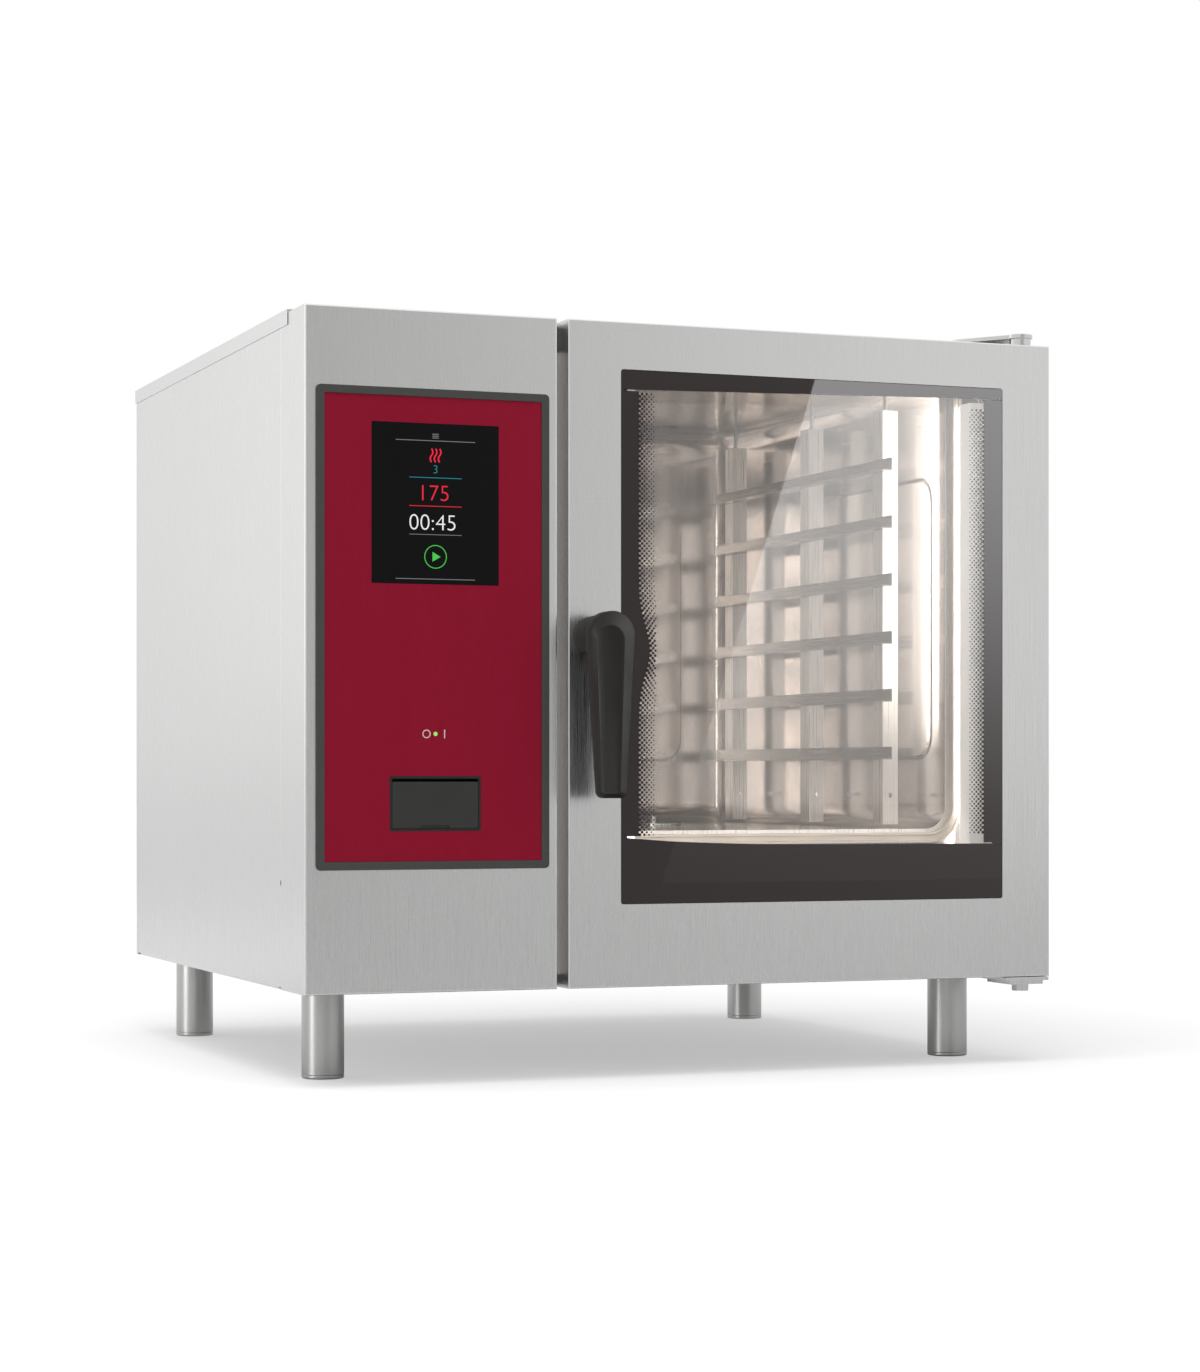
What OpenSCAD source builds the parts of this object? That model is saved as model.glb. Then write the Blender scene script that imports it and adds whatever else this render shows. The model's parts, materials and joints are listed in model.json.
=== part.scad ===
// Combi steamer oven for six GN 1/1 trays, on four legs, with a control panel beside a glazed door.
// Places are measured in millimetres from the casing's front left bottom corner:
// u to the right, v to the back, w upwards. place() moves that corner so that the origin is on the
// floor, under the middle of the whole oven.

/* [Casing] */
// Width over the control panel and the closed door
front_w = 880; // [876:1:900]
// Depth from the door face to the rear panel
body_d = 800; // [796:1:840]
// Height of the casing without its legs
body_h = 720; // [718:1:740]
// Height of the legs with the feet screwed right in
leg_h = 98; // [90:1:130]
// Diameter of the leg tubes
leg_d = 46; // [40:1:50]
// Thickness of the sheet steel
sheet = 1.5; // [1:0.1:1.6]

/* [Control panel] */
// Width of the control fascia
fascia_w = 280; // [276:1:281]
// Width of the bezel
bezel_w = 258; // [250:1:262]
// Height of the bezel
bezel_h = 507; // [500:1:520]
// Width of the visible bezel band
bezel_band = 8.5; // [7:0.5:10]
// Width of the touch display
display_w = 141; // [130:1:150]
// Height of the touch display
display_h = 169.5; // [160:0.5:175]
// Width of the flap over the USB socket
flap_w = 95; // [80:1:100]
// Height of the flap over the USB socket
flap_h = 49; // [40:1:52]

/* [Door] */
// Gap between the control fascia and the door
door_gap = 12.6; // [11:0.1:16]
// Depth of the door frame
door_t = 60; // [56:1:61]
// Width of the window
window_w = 466; // [460:1:470]
// Height of the window
window_h = 579; // [570:1:585]
// Thickness of the outer pane
outer_pane_t = 6; // [4:0.5:7]
// Thickness of the inner pane
inner_pane_t = 5; // [4:0.5:5]

/* [Handle] */
// Radius of the lever's round head
lever_head_r = 25; // [22:1:27]
// Length of the lever below its pivot
lever_drop = 174; // [150:1:190]
// Width of the lever's lower end
lever_end_w = 31; // [26:1:36]
// Reach of the lever in front of the door
lever_out = 62; // [58:1:66]

/* [Oven chamber] */
// Height of one tray level
level_pitch = 67.5; // [64:0.5:68]
// Number of tray levels
levels = 6; // [4:1:6]
// Width between the two racks, for a GN 1/1 tray
tray_w = 331; // [328:1:333]
// Radius of the fan wheel
fan_r = 140; // [120:1:142]
// Number of fan blades
fan_blades = 16; // [8:1:20]

/* [Hidden] */
$fn = 48;

// Play between pieces that are set into each other
play = 0.4;
// Play between pieces of one body that sit in each other's holes
snug = 0.1;
// Depth by which a cutter stands past the face it cuts
past = 2;
// Width of a sheet-metal fold
fold = 15;

// Outer limits of the whole oven
lid_lip = 1.5;
service_out = 30;
origin_u = (front_w - lid_lip) / 2;
origin_v = (body_d + service_out - lever_out) / 2;

// Casing
cab_w = front_w - 12;
wing_d = 94;
lid_front = 66;
lid_top = body_h + 3.7;
lid_low = body_h - 13;
side_low = 2.5;
side_top = body_h - 4;
rear_flange = 9;
rear_face = body_d - sheet;
base_rim = 25;
fascia_sill = 30;
frame_v = 72;
frame_left = 284;
frame_right = cab_w - 4;
frame_low = 2;
frame_high = body_h - frame_low;
side_v = frame_v + 2;
leg_u = [54, cab_w - 56];
leg_v = [121, body_d - 92];
foot_pad_h = 4;
foot_edge = 1.2;
foot_gap = 0.3;
foot_stud_r = 8;
foot_stud_top = -40;
foot_thread_top = foot_stud_top + 10;

// Control panel
bezel_u = (fascia_w - bezel_w) / 2 + 1;
bezel_low = 130;
bezel_r = 5;
bezel_a = [bezel_u, bezel_low];
bezel_b = [bezel_u + bezel_w, bezel_low + bezel_h];
bezel_proud = 2.5;
bezel_depth = 12;
glass_front = -1.5;
glass_back = 2.5;
glass_a = bezel_a + [bezel_band, bezel_band];
glass_b = bezel_b - [bezel_band, bezel_band];
panel_mid = fascia_w / 2 + 2.3;
display_low = 431;
display_r = 0.5;
display_a = [panel_mid - display_w / 2, display_low];
display_b = [panel_mid + display_w / 2, display_low + display_h];
lamp_w = 273;
lamp_r = 2.2;
flap_low = 173.5;
flap_a = [panel_mid - flap_w / 2, flap_low];
flap_b = [panel_mid + flap_w / 2, flap_low + flap_h];
flap_slit = 3.2;
case_back = 16;
flap_rim = 2.6;
flap_t = 3;
flap_pin_r = 0.9;
flap_pin_out = 2.2;
flap_pin_v = 1;
flap_pin_w = flap_b[1] - 1.3;
rim_a = [flap_a[0] - play - flap_rim, flap_a[1] - play - flap_rim];
rim_b = [flap_b[0] + play + flap_rim, flap_b[1] + flap_slit + flap_rim];
socket_back = 32;

// Door
door_u = fascia_w + door_gap;
window_u = door_u + (front_w - door_u - window_w) / 2;
window_low = 89.7;
window_a = [window_u, window_low];
window_b = [window_u + window_w, window_low + window_h];
pane_recess = 0.4;
pane_back = pane_recess + outer_pane_t;
seal_back = pane_back + 5;
liner_front = door_t - 5.5;
liner_back = liner_front + sheet;
tunnel_out = 3;
tunnel_t = 2;
liner_hole_a = [window_a[0] + 2, 150];
liner_hole_b = [window_b[0] - 2, 668];
inner_pane_a = [door_u + 47.4, 112];
inner_pane_b = [front_w - 58, body_h - 12];
bar_w = 28;
bar_wall = 1.5;
left_bar_u = window_a[0] - tunnel_out + tunnel_t;
right_bar_u = window_b[0] + tunnel_out - tunnel_t - bar_w;
bar_v = [30, 54];
bar_low = window_low + 14;
bar_high = window_low + window_h - 14;
hinge_u = front_w - 27;
hinge_v = 20;
hinge_pin_r = 8;
bush_r = 11;
bush_h = 28;
bush_flange = 4;
// Running gap between a pin and its bush
bush_gap = 0.05;

// Handle
pivot_u = door_u + 30.5;
pivot_w = 379;
spindle_r = 6;
handle_bush_r = 14;
neck_r = 20;
cam_v = [door_t + 3.5, door_t + 9.5];
cam_r = 13;

// Oven chamber
cav_a = [312, frame_v + sheet, 168];
cav_b = [front_w - 98, body_d - 82, body_h - 34];
mouth_u = 366;
cove_r = 25;
corner_r = 14;
rack_mid = cav_b[0] - 40 - tray_w / 2;
rail_t = 1.5;
rail_h = 15;
shelf_w = 13;
rail_v = [131, 645];
rail_low = 248;
post_v = [156, 360, 594];
post_size = [20, 25];
post_z = [cav_a[2] + 4, cav_b[2] - 28];
hook_w = post_z[1] - 16;
hook_r = 2.5;
button_r = 6;
fan_v = 400;
fan_w = 427;
fan_u = [320, 362];
shaft_r = 8;
baffle_u = 370;
ring_r = 160;
rod_r = 4.25;
tail_v = [fan_v - 15, fan_v + 15];
drain_u = 560;
drain_v = 420;
drain_r = 25;
drain_wall = 2;
drain_hole_r = drain_r - drain_wall;
trap_r = 32;
outlet_w = 60;
vent_u = 660;
vent_v = 640;
vent_r = 27;
vent_wall = 2.5;
vent_top = lid_top + 28;
// Step behind which a spigot is a little wider than the pipe it ends
spigot_step = 1;
spigot_gap = 2;
damper_w = body_h - 5;
damper_r = vent_r - vent_wall - 1.2;
damper_rod_r = 3;
wool_a = [frame_left, frame_v + sheet, 128];
wool_b = [cab_w - 26, body_d - 32, body_h - 6];

// Services
board_t = 2;
board_post_r = 3;
inlet_r = 13.2;
inlet_u = [122, 168];
inlet_w = 175;
gland_u = 75;
gland_w = 60;
gland_bore_r = 9;
gland_thread_r = 16;
cooler_u = 170;
cooler_w = 420;
cooler_r = 54;
cooler_size = 120;
cooler_pin_r = 3;
cooler_v = [body_d - 28, body_d - 3];
steam_r = 5;
steam_u = 96;
valve_v = body_d - 65;
valve_d = 45;
valve_half = 20;
valve_top = inlet_w + valve_half;
steam_start_v = valve_v + 17;
steam_start_w = valve_top + 8;
steam_v = 560;
steam_w = 560;
screw_r = 2;
screw_head_r = 4.5;
screw_head_t = 2;
rear_screws = concat(
    [for (u = [20, cab_w / 2, cab_w - 20], w = [16, side_top - 16]) [u, w]],
    [for (u = [20, cab_w - 20], w = [250, 480]) [u, w]]);

steel = "#b9b9b8";
bright_steel = "#d9d6cf";
dark_plastic = "#3a3b39";
black_plastic = "#2b2b2a";
red_glass = "#83162c";
black_glass = "#181818";
clear_glass = "#cfd6d4";
rubber_black = "#232323";
copper_tone = "#b3793f";
board_green = "#2f5d43";

// Helpers

// Moves a piece from the casing's corner to the oven's own frame
module place() {
    translate([-origin_u, -origin_v, leg_h]) children();
}

// Box between two opposite corners
module box(a, b) {
    translate(a) cube(b - a);
}

// Flat rectangle between two corners, with round corners
module panel(a, b, r) {
    translate([a[0] + r, a[1]]) square([b[0] - a[0] - 2 * r, b[1] - a[1]]);
    translate([a[0], a[1] + r]) square([b[0] - a[0], b[1] - a[1] - 2 * r]);
    for (x = [a[0] + r, b[0] - r], y = [a[1] + r, b[1] - r]) translate([x, y]) circle(r);
}

// Rectangle grown by a margin on every side
module grown_panel(a, b, margin, r) {
    panel(a - [margin, margin], b + [margin, margin], r);
}

// Flat shape drawn in u and w, made thick from v0 to v1
module slab_v(v0, v1) {
    translate([0, v1, 0]) rotate([90, 0, 0]) linear_extrude(v1 - v0) children();
}

// Flat shape drawn in v and w, made thick from u0 to u1
module slab_u(u0, u1) {
    translate([u0, 0, 0]) rotate([90, 0, 90]) linear_extrude(u1 - u0) children();
}

// Flat shape drawn in u and v, made thick from w0 to w1
module slab_w(w0, w1) {
    translate([0, 0, w0]) linear_extrude(w1 - w0) children();
}

// Round bar along v
module rod_v(u, w, v0, v1, r) {
    translate([u, v1, w]) rotate([90, 0, 0]) cylinder(h = v1 - v0, r = r);
}

// Round bar along u
module rod_u(v, w, u0, u1, r) {
    translate([u0, v, w]) rotate([0, 90, 0]) cylinder(h = u1 - u0, r = r);
}

// Round bar along w
module rod_w(u, v, w0, w1, r) {
    translate([u, v, w0]) cylinder(h = w1 - w0, r = r);
}

// Casing

module base_pan() {
    color(steel) place() {
        box([sheet, fascia_sill + 1, 0], [fascia_w - sheet, side_v, sheet]);
        box([sheet, side_v, 0], [cab_w - sheet, rear_face, sheet]);
        box([sheet, wing_d + fold, sheet], [2 * sheet, rear_face - fold, base_rim]);
        box([cab_w - 2 * sheet, wing_d + fold, sheet], [cab_w - sheet, rear_face - fold, base_rim]);
    }
}

// Flat casing side with folds inside, down from fold_v and along its top edge, leaning inwards by dir
module side_sheet(u0, v0, fold_v, dir) {
    u1 = u0 + dir * sheet;
    u2 = u0 + dir * fold;
    box([min(u0, u1), v0, side_low], [max(u0, u1), rear_face - rear_flange, side_top]);
    box([min(u1, u2), fold_v, base_rim + 1], [max(u1, u2), fold_v + sheet, side_top]);
    box([min(u1, u2), fold_v, side_top - sheet], [max(u1, u2), rear_face - rear_flange, side_top]);
}

module left_side_panel() {
    front = wing_d + play;
    notch_d = 4;
    notch_w = [111, 117];
    color(steel) place() difference() {
        side_sheet(0, front, front, 1);
        box([-past, front - past, notch_w[0]], [sheet + past, front + notch_d, notch_w[1]]);
    }
}

module right_side_panel() {
    color(steel) place() side_sheet(cab_w, side_v, side_v + 2 * fold, -1);
}

module rear_panel() {
    slot_count = 14;
    slot_pitch = 7;
    slot_half = 42;
    slot_h = 3;
    color(steel) place() difference() {
        union() {
            box([0, rear_face, 0], [cab_w, body_d, side_top]);
            box([0, rear_face - rear_flange + play, 0], [sheet, rear_face, side_top]);
            box([cab_w - sheet, rear_face - rear_flange + play, 0], [cab_w, rear_face, side_top]);
        }
        for (u = inlet_u) rod_v(u, inlet_w, rear_face - past, body_d + past, inlet_r + 1);
        rod_v(gland_u, gland_w, rear_face - past, body_d + past, gland_thread_r + snug);
        rod_v(drain_u, outlet_w, rear_face - past, body_d + past, drain_r + 1);
        for (p = rear_screws) rod_v(p[0], p[1], rear_face - past, body_d + past, screw_r + snug);
        for (i = [0 : slot_count - 1]) {
            w = cooler_w + (i - (slot_count - 1) / 2) * slot_pitch - slot_h / 2;
            box([cooler_u - slot_half, rear_face - past, w],
                [cooler_u + slot_half, body_d + past, w + slot_h]);
        }
    }
}

module top_cover() {
    under = lid_top - sheet;
    back = body_d + lid_lip;
    door_room = 0.3;
    color(steel) place() difference() {
        union() {
            box([-lid_lip, lid_front, under], [cab_w + lid_lip, back, lid_top]);
            box([-lid_lip, lid_front, lid_low], [0, back, lid_top]);
            box([cab_w, side_v + 2, lid_low], [cab_w + lid_lip, back, lid_top]);
            box([-lid_lip, body_d, lid_low], [cab_w + lid_lip, back, lid_top]);
            box([-lid_lip, lid_front, body_h + door_room], [cab_w + lid_lip, lid_front + sheet, lid_top]);
        }
        rod_w(vent_u, vent_v, under - past, lid_top + past, vent_r + 1.5);
    }
}

module control_fascia() {
    hole_margin = 5;
    return_d = 70;
    color(steel) place() difference() {
        union() {
            box([0, 0, 0], [fascia_w, sheet, body_h]);
            box([0, 0, 0], [sheet, wing_d, body_h]);
            box([fascia_w - sheet, 0, 0], [fascia_w, return_d, body_h]);
            box([0, 0, body_h - sheet], [fascia_w, lid_front, body_h]);
            box([0, 0, 0], [fascia_w, fascia_sill, sheet]);
        }
        slab_v(-past, sheet + past) grown_panel(bezel_a, bezel_b, -hole_margin, bezel_r - 2);
    }
}

module front_frame() {
    flange = 24;
    color(bright_steel) place() difference() {
        union() {
            box([frame_left, frame_v, frame_low], [frame_right, frame_v + sheet, frame_high]);
            box([frame_right - sheet, frame_v, frame_low], [frame_right, frame_v + flange, frame_high]);
            box([frame_left, frame_v, frame_high - sheet], [frame_right, frame_v + flange, frame_high]);
            box([frame_left, frame_v, frame_low], [frame_right, frame_v + flange, frame_low + sheet]);
        }
        slab_v(frame_v - past, frame_v + 2 * past) panel([mouth_u, cav_a[2]], [cav_b[0], cav_b[2]], cove_r);
    }
}

module leg_tubes() {
    plate = 35;
    plate_t = 3;
    color(steel) place() for (u = leg_u, v = leg_v) difference() {
        union() {
            box([u - plate, v - plate, -plate_t], [u + plate, v + plate, 0]);
            rod_w(u, v, -leg_h + foot_pad_h + foot_gap, 0, leg_d / 2);
        }
        rod_w(u, v, -leg_h, foot_thread_top, foot_stud_r + 0.2);
    }
}

module casing_screws() {
    grip = 8;
    key_r = 1.6;
    key_floor = 0.8;
    color(bright_steel) place() for (p = rear_screws) {
        rod_v(p[0], p[1], rear_face - grip, body_d, screw_r);
        difference() {
            rod_v(p[0], p[1], body_d, body_d + screw_head_t, screw_head_r);
            rod_v(p[0], p[1], body_d + key_floor, body_d + past + screw_head_t, key_r, $fn = 6);
        }
    }
}

// Control panel

module control_bezel() {
    ledge = 4;
    lip = 5.3;
    color(dark_plastic) place() difference() {
        union() {
            slab_v(-bezel_proud, 0) panel(bezel_a, bezel_b, bezel_r);
            slab_v(-bezel_proud, bezel_depth) grown_panel(bezel_a, bezel_b, -lip, bezel_r - 2);
        }
        slab_v(-bezel_proud - past, glass_back) grown_panel(glass_a, glass_b, 0, 1);
        slab_v(0, bezel_depth + past) grown_panel(glass_a, glass_b, -ledge, 1);
    }
}

module control_glass() {
    color(red_glass) place() slab_v(glass_front, glass_back) difference() {
        grown_panel(glass_a, glass_b, -0.2, 1);
        grown_panel(display_a, display_b, snug, display_r);
        grown_panel(rim_a, rim_b, snug, 1);
        translate([panel_mid, lamp_w]) circle(lamp_r + snug);
    }
}

module touch_display() {
    case_margin = 6;
    color(black_glass) place() {
        slab_v(glass_front + snug, glass_back + snug) panel(display_a, display_b, display_r);
        slab_v(glass_back + snug, case_back) grown_panel(display_a, display_b, case_margin, 2);
    }
}

module power_lamp() {
    tail = 5;
    collar = 2;
    color("#9fd36a") place() {
        rod_v(panel_mid, lamp_w, glass_front, glass_back + tail, lamp_r);
        rod_v(panel_mid, lamp_w, glass_back + snug, glass_back + collar, lamp_r + collar);
    }
}

module usb_socket() {
    floor_v = socket_back - 2;
    port_w = 14;
    port_h = 7;
    port_d = 8;
    port_wall = 1;
    pin_bore_r = flap_pin_r + bush_gap;
    pin_hole_out = flap_pin_out + 0.3;
    mid_w = (flap_a[1] + flap_b[1]) / 2;
    color(black_plastic) place() {
        difference() {
            slab_v(glass_front, socket_back) panel(rim_a, rim_b, 1);
            slab_v(glass_front - past, floor_v) panel(
                [flap_a[0] - play, flap_a[1] - play], [flap_b[0] + play, flap_b[1] + flap_slit], 1);
            rod_u(flap_pin_v, flap_pin_w, flap_a[0] - pin_hole_out, flap_b[0] + pin_hole_out, pin_bore_r);
        }
        difference() {
            box([panel_mid - port_w / 2, floor_v - port_d, mid_w - port_h / 2],
                [panel_mid + port_w / 2, floor_v, mid_w + port_h / 2]);
            box([panel_mid - port_w / 2 + port_wall, floor_v - port_d - past, mid_w - port_h / 2 + port_wall],
                [panel_mid + port_w / 2 - port_wall, floor_v - port_wall, mid_w + port_h / 2 - port_wall]);
        }
    }
}

module usb_flap() {
    front = -1.2;
    notch_half = 15.5;
    notch_h = 3;
    color(dark_plastic) place() {
        difference() {
            slab_v(front, front + flap_t) panel(flap_a, flap_b, 1.2);
            box([panel_mid - notch_half, front - past, flap_low - past],
                [panel_mid + notch_half, front + 1.5, flap_low + notch_h]);
        }
        rod_u(flap_pin_v, flap_pin_w, flap_a[0] - flap_pin_out, flap_b[0] + flap_pin_out, flap_pin_r);
    }
}

module control_board() {
    board_v = case_back + 8;
    face = board_v + board_t;
    a = display_a + [-4, -30];
    b = display_b + [4, 12];
    post_in = 10;
    chip = 40;
    plug = [20, 12, 12];
    plug_pitch = 32;
    can_r = 5;
    can_h = 16;
    color(board_green) place() {
        box([a[0], board_v, a[1]], [b[0], face, b[1]]);
        for (u = [a[0] + post_in, b[0] - post_in], w = [display_a[1] + post_in, display_b[1] - post_in])
            rod_v(u, w, case_back, board_v, board_post_r);
        translate([panel_mid - chip / 2, face, a[1] + 70]) cube([chip, 4, chip]);
        for (i = [0 : 3]) translate([a[0] + 12 + plug_pitch * i, face, a[1] + 8]) cube(plug);
        for (i = [0 : 2]) rod_v(a[0] + 20 + 3 * can_r * i, b[1] - 22, face, face + can_h, can_r);
    }
}

// Oven chamber

// Block with coved edges along the ceiling, the floor and the back, and round upright corners
module coved_block(a, b, cove, corner) {
    ahead = 60;
    intersection() {
        slab_v(a[1], b[1]) panel([a[0], a[2]], [b[0], b[2]], cove);
        slab_w(a[2], b[2]) panel([a[0], a[1] - ahead], [b[0], b[1]], corner);
        slab_u(a[0], b[0]) panel([a[1] - ahead, a[2]], [b[1], b[2]], cove);
    }
}

// Holes through which the services enter the oven chamber, each with some room
module chamber_holes(room) {
    rod_w(drain_u, drain_v, wool_a[2] - past, cav_a[2] + past, drain_hole_r + room);
    rod_w(vent_u, vent_v, cav_b[2] - past, body_h, vent_r - vent_wall + room);
    rod_u(fan_v, fan_w, wool_a[0] - past, cav_a[0] + past, shaft_r + 3 + room / 3);
    for (v = tail_v) rod_u(v, fan_w - ring_r, wool_a[0] - past, cav_a[0] + past, rod_r + 1.5);
    rod_u(steam_v, steam_w, wool_a[0] - past, cav_a[0] + past, steam_r + 1.5);
}

module cavity_liner() {
    grow = [sheet, 0, sheet];
    bead_t = 2;
    bead_r = 26;
    color(bright_steel) place() difference() {
        union() {
            difference() {
                coved_block(cav_a - grow, cav_b + [sheet, sheet, sheet], cove_r + sheet, corner_r + sheet);
                coved_block(cav_a - [0, past, 0], cav_b, cove_r, corner_r);
            }
            slab_u(cav_b[0] - bead_t, cav_b[0] + sheet / 2) panel([114, 252], [511, 573], bead_r);
            slab_v(cav_b[1] - bead_t, cav_b[1] + sheet / 2) panel([372, 252], [720, 577], bead_r);
        }
        chamber_holes(0);
    }
}

module cavity_insulation() {
    gap = [sheet + 0.3, 0, sheet + 0.3];
    color("#d8d0b8") place() difference() {
        box([wool_a[0], wool_a[1] + sheet, wool_a[2]], wool_b);
        coved_block(cav_a - gap, cav_b + [gap[0], gap[0], gap[2]], cove_r + gap[0], corner_r + gap[0]);
        chamber_holes(20);
        box([wool_a[0] - past, 0, wool_b[2] - 8], [wool_b[0] + past, frame_v + 26, wool_b[2] + past]);
    }
}

module door_gasket() {
    inset = 4;
    band = 12;
    a = [mouth_u, cav_a[2]];
    b = [cav_b[0], cav_b[2]];
    front = door_t + 1.6;
    groove = 3;
    color(rubber_black) place() difference() {
        slab_v(front, frame_v) grown_panel(a, b, inset + band, cove_r + inset + band);
        slab_v(front - past, frame_v + past) grown_panel(a, b, inset, cove_r + inset);
        slab_v(front - past, front + groove) difference() {
            grown_panel(a, b, inset + band - groove, cove_r + inset + band - groove);
            grown_panel(a, b, inset + groove, cove_r + inset + groove);
        }
    }
}

module fan_baffle() {
    a = [96, 186];
    b = [698, 668];
    corner = 12;
    lip = 16;
    intake_r = 112;
    guard_r = [34, 62, 90];
    guard_w = 4;
    guard_in = 3;
    slot_v = [a[0] + 24, a[0] + 44, b[0] - 48, b[0] - 28];
    slot_w = 6;
    slot_h = 40;
    slot_pitch = slot_h + 30;
    foot_r = 5;
    foot_in = 14;
    color(bright_steel) place() {
        difference() {
            union() {
                slab_u(baffle_u, baffle_u + sheet) panel(a, b, corner);
                box([baffle_u - lip, a[0] + corner, a[1]], [baffle_u, b[0] - corner, a[1] + sheet]);
                box([baffle_u - lip, a[0] + corner, b[1] - sheet], [baffle_u, b[0] - corner, b[1]]);
            }
            rod_u(fan_v, fan_w, baffle_u - past, baffle_u + past + sheet, intake_r);
            for (v = slot_v, i = [0 : levels - 1]) {
                w = a[1] + slot_h + i * slot_pitch;
                box([baffle_u - past, v, w], [baffle_u + sheet + past, v + slot_w, w + slot_h]);
            }
        }
        for (r = guard_r) difference() {
            rod_u(fan_v, fan_w, baffle_u, baffle_u + sheet, r + guard_w / 2);
            rod_u(fan_v, fan_w, baffle_u - past, baffle_u + sheet + past, r - guard_w / 2);
        }
        for (turn = [0 : 45 : 135]) translate([baffle_u, fan_v, fan_w]) rotate([turn, 0, 0])
            translate([0, -intake_r - guard_in, -guard_w / 2])
                cube([sheet, 2 * (intake_r + guard_in), guard_w]);
        for (v = [a[0] + foot_in, b[0] - foot_in], w = [a[1] + foot_in, b[1] - foot_in])
            rod_u(v, w, cav_a[0], baffle_u, foot_r);
    }
}

module fan_wheel() {
    back_t = 2;
    hub_r = 22;
    blade_t = 2;
    blade_in = 88;
    blade_l = 42;
    ring_in = blade_in + 26;
    lean = 35;
    color(steel) place() translate([0, fan_v, fan_w]) {
        difference() {
            union() {
                rod_u(0, 0, fan_u[0], fan_u[0] + back_t, fan_r);
                rod_u(0, 0, fan_u[0], fan_u[0] + fold, hub_r);
            }
            rod_u(0, 0, fan_u[0] - past, fan_u[0] + fold + past, shaft_r + bush_gap);
        }
        difference() {
            rod_u(0, 0, fan_u[1] - back_t, fan_u[1], fan_r);
            rod_u(0, 0, fan_u[1] - back_t - past, fan_u[1] + past, ring_in);
        }
        for (i = [0 : fan_blades - 1]) rotate([i * 360 / fan_blades, 0, 0]) translate([0, blade_in, 0])
            rotate([lean, 0, 0]) translate([fan_u[0] + back_t / 2, 0, -blade_t / 2])
                cube([fan_u[1] - fan_u[0] - back_t, blade_l, blade_t]);
    }
}

module fan_shaft() {
    start_u = 120;
    nut_u = fan_u[0] + 18;
    nut_t = 8;
    nut_r = shaft_r + 5;
    color(steel) place() {
        rod_u(fan_v, fan_w, start_u, nut_u, shaft_r);
        rod_u(fan_v, fan_w, nut_u, nut_u + nut_t, nut_r, $fn = 6);
    }
}

module fan_motor() {
    can = [136, 246];
    can_r = 66;
    neck_r = 34;
    fin_r = 72;
    fin_count = 10;
    fin_pitch = 10;
    fin_t = 4;
    fin_in = 8;
    plate_t = 5;
    plate_half = 90;
    plate_r = 12;
    plate_u = frame_left - plate_t;
    top_box = [20, 30, 50, 96];
    color("#5d6468") place() difference() {
        union() {
            rod_u(fan_v, fan_w, can[0], can[1], can_r);
            rod_u(fan_v, fan_w, can[1], plate_u, neck_r);
            for (i = [0 : fin_count - 1]) {
                fin_u = can[0] + fin_in + i * fin_pitch;
                rod_u(fan_v, fan_w, fin_u, fin_u + fin_t, fin_r);
            }
            slab_u(plate_u, frame_left) grown_panel([fan_v, fan_w], [fan_v, fan_w], plate_half, plate_r);
            box([can[0] + top_box[0], fan_v - top_box[1], fan_w + top_box[2]],
                [can[1] - top_box[0], fan_v + top_box[1], fan_w + top_box[3]]);
        }
        rod_u(fan_v, fan_w, can[0] - past, frame_left + past, shaft_r + bush_gap);
    }
}

module heating_element() {
    ring_u = [330, 343, 356];
    tail = 268;
    color("#8a8378") place() {
        for (u = ring_u) translate([u, fan_v, fan_w]) rotate([0, 90, 0])
            rotate_extrude() translate([ring_r, 0]) circle(rod_r);
        for (v = tail_v) rod_u(v, fan_w - ring_r, tail, ring_u[2], rod_r);
    }
}

// Straight pipe runs with round elbows through a list of points, each run along one axis
module pipe_run(points, r) {
    for (i = [0 : len(points) - 2]) {
        p = points[i];
        q = points[i + 1];
        d = q - p;
        if (d[0] != 0) rod_u(p[1], p[2], min(p[0], q[0]), max(p[0], q[0]), r);
        if (d[1] != 0) rod_v(p[0], p[2], min(p[1], q[1]), max(p[1], q[1]), r);
        if (d[2] != 0) rod_w(p[0], p[1], min(p[2], q[2]), max(p[2], q[2]), r);
        if (i > 0) translate(p) sphere(r);
    }
}

module steam_pipe() {
    spout = 18;
    color(copper_tone) place() pipe_run([
        [steam_u, steam_start_v, steam_start_w],
        [steam_u, steam_start_v, steam_w],
        [steam_u, steam_v, steam_w],
        [cav_a[0] + spout, steam_v, steam_w]], steam_r);
}

module rack_hooks() {
    button_t = 3;
    color(steel) place() for (side = [-1, 1], v = post_v) {
        u = rack_mid + side * (tray_w / 2 + rail_t + post_size[0] / 2);
        rod_w(u, v + post_size[1] / 2, hook_w - button_t, cav_b[2], hook_r);
        rod_w(u, v + post_size[1] / 2, hook_w - button_t, hook_w, button_r);
    }
}

// The shelf rails of one rack, drawn for the right side with their guiding faces at u = 0
module rails() {
    color(bright_steel) for (i = [0 : levels - 1]) {
        w = rail_low + i * level_pitch;
        box([0, rail_v[0], w], [rail_t, rail_v[1], w + rail_h]);
        box([-shelf_w, rail_v[0], w], [rail_t, rail_v[1], w + rail_t]);
    }
}

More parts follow.
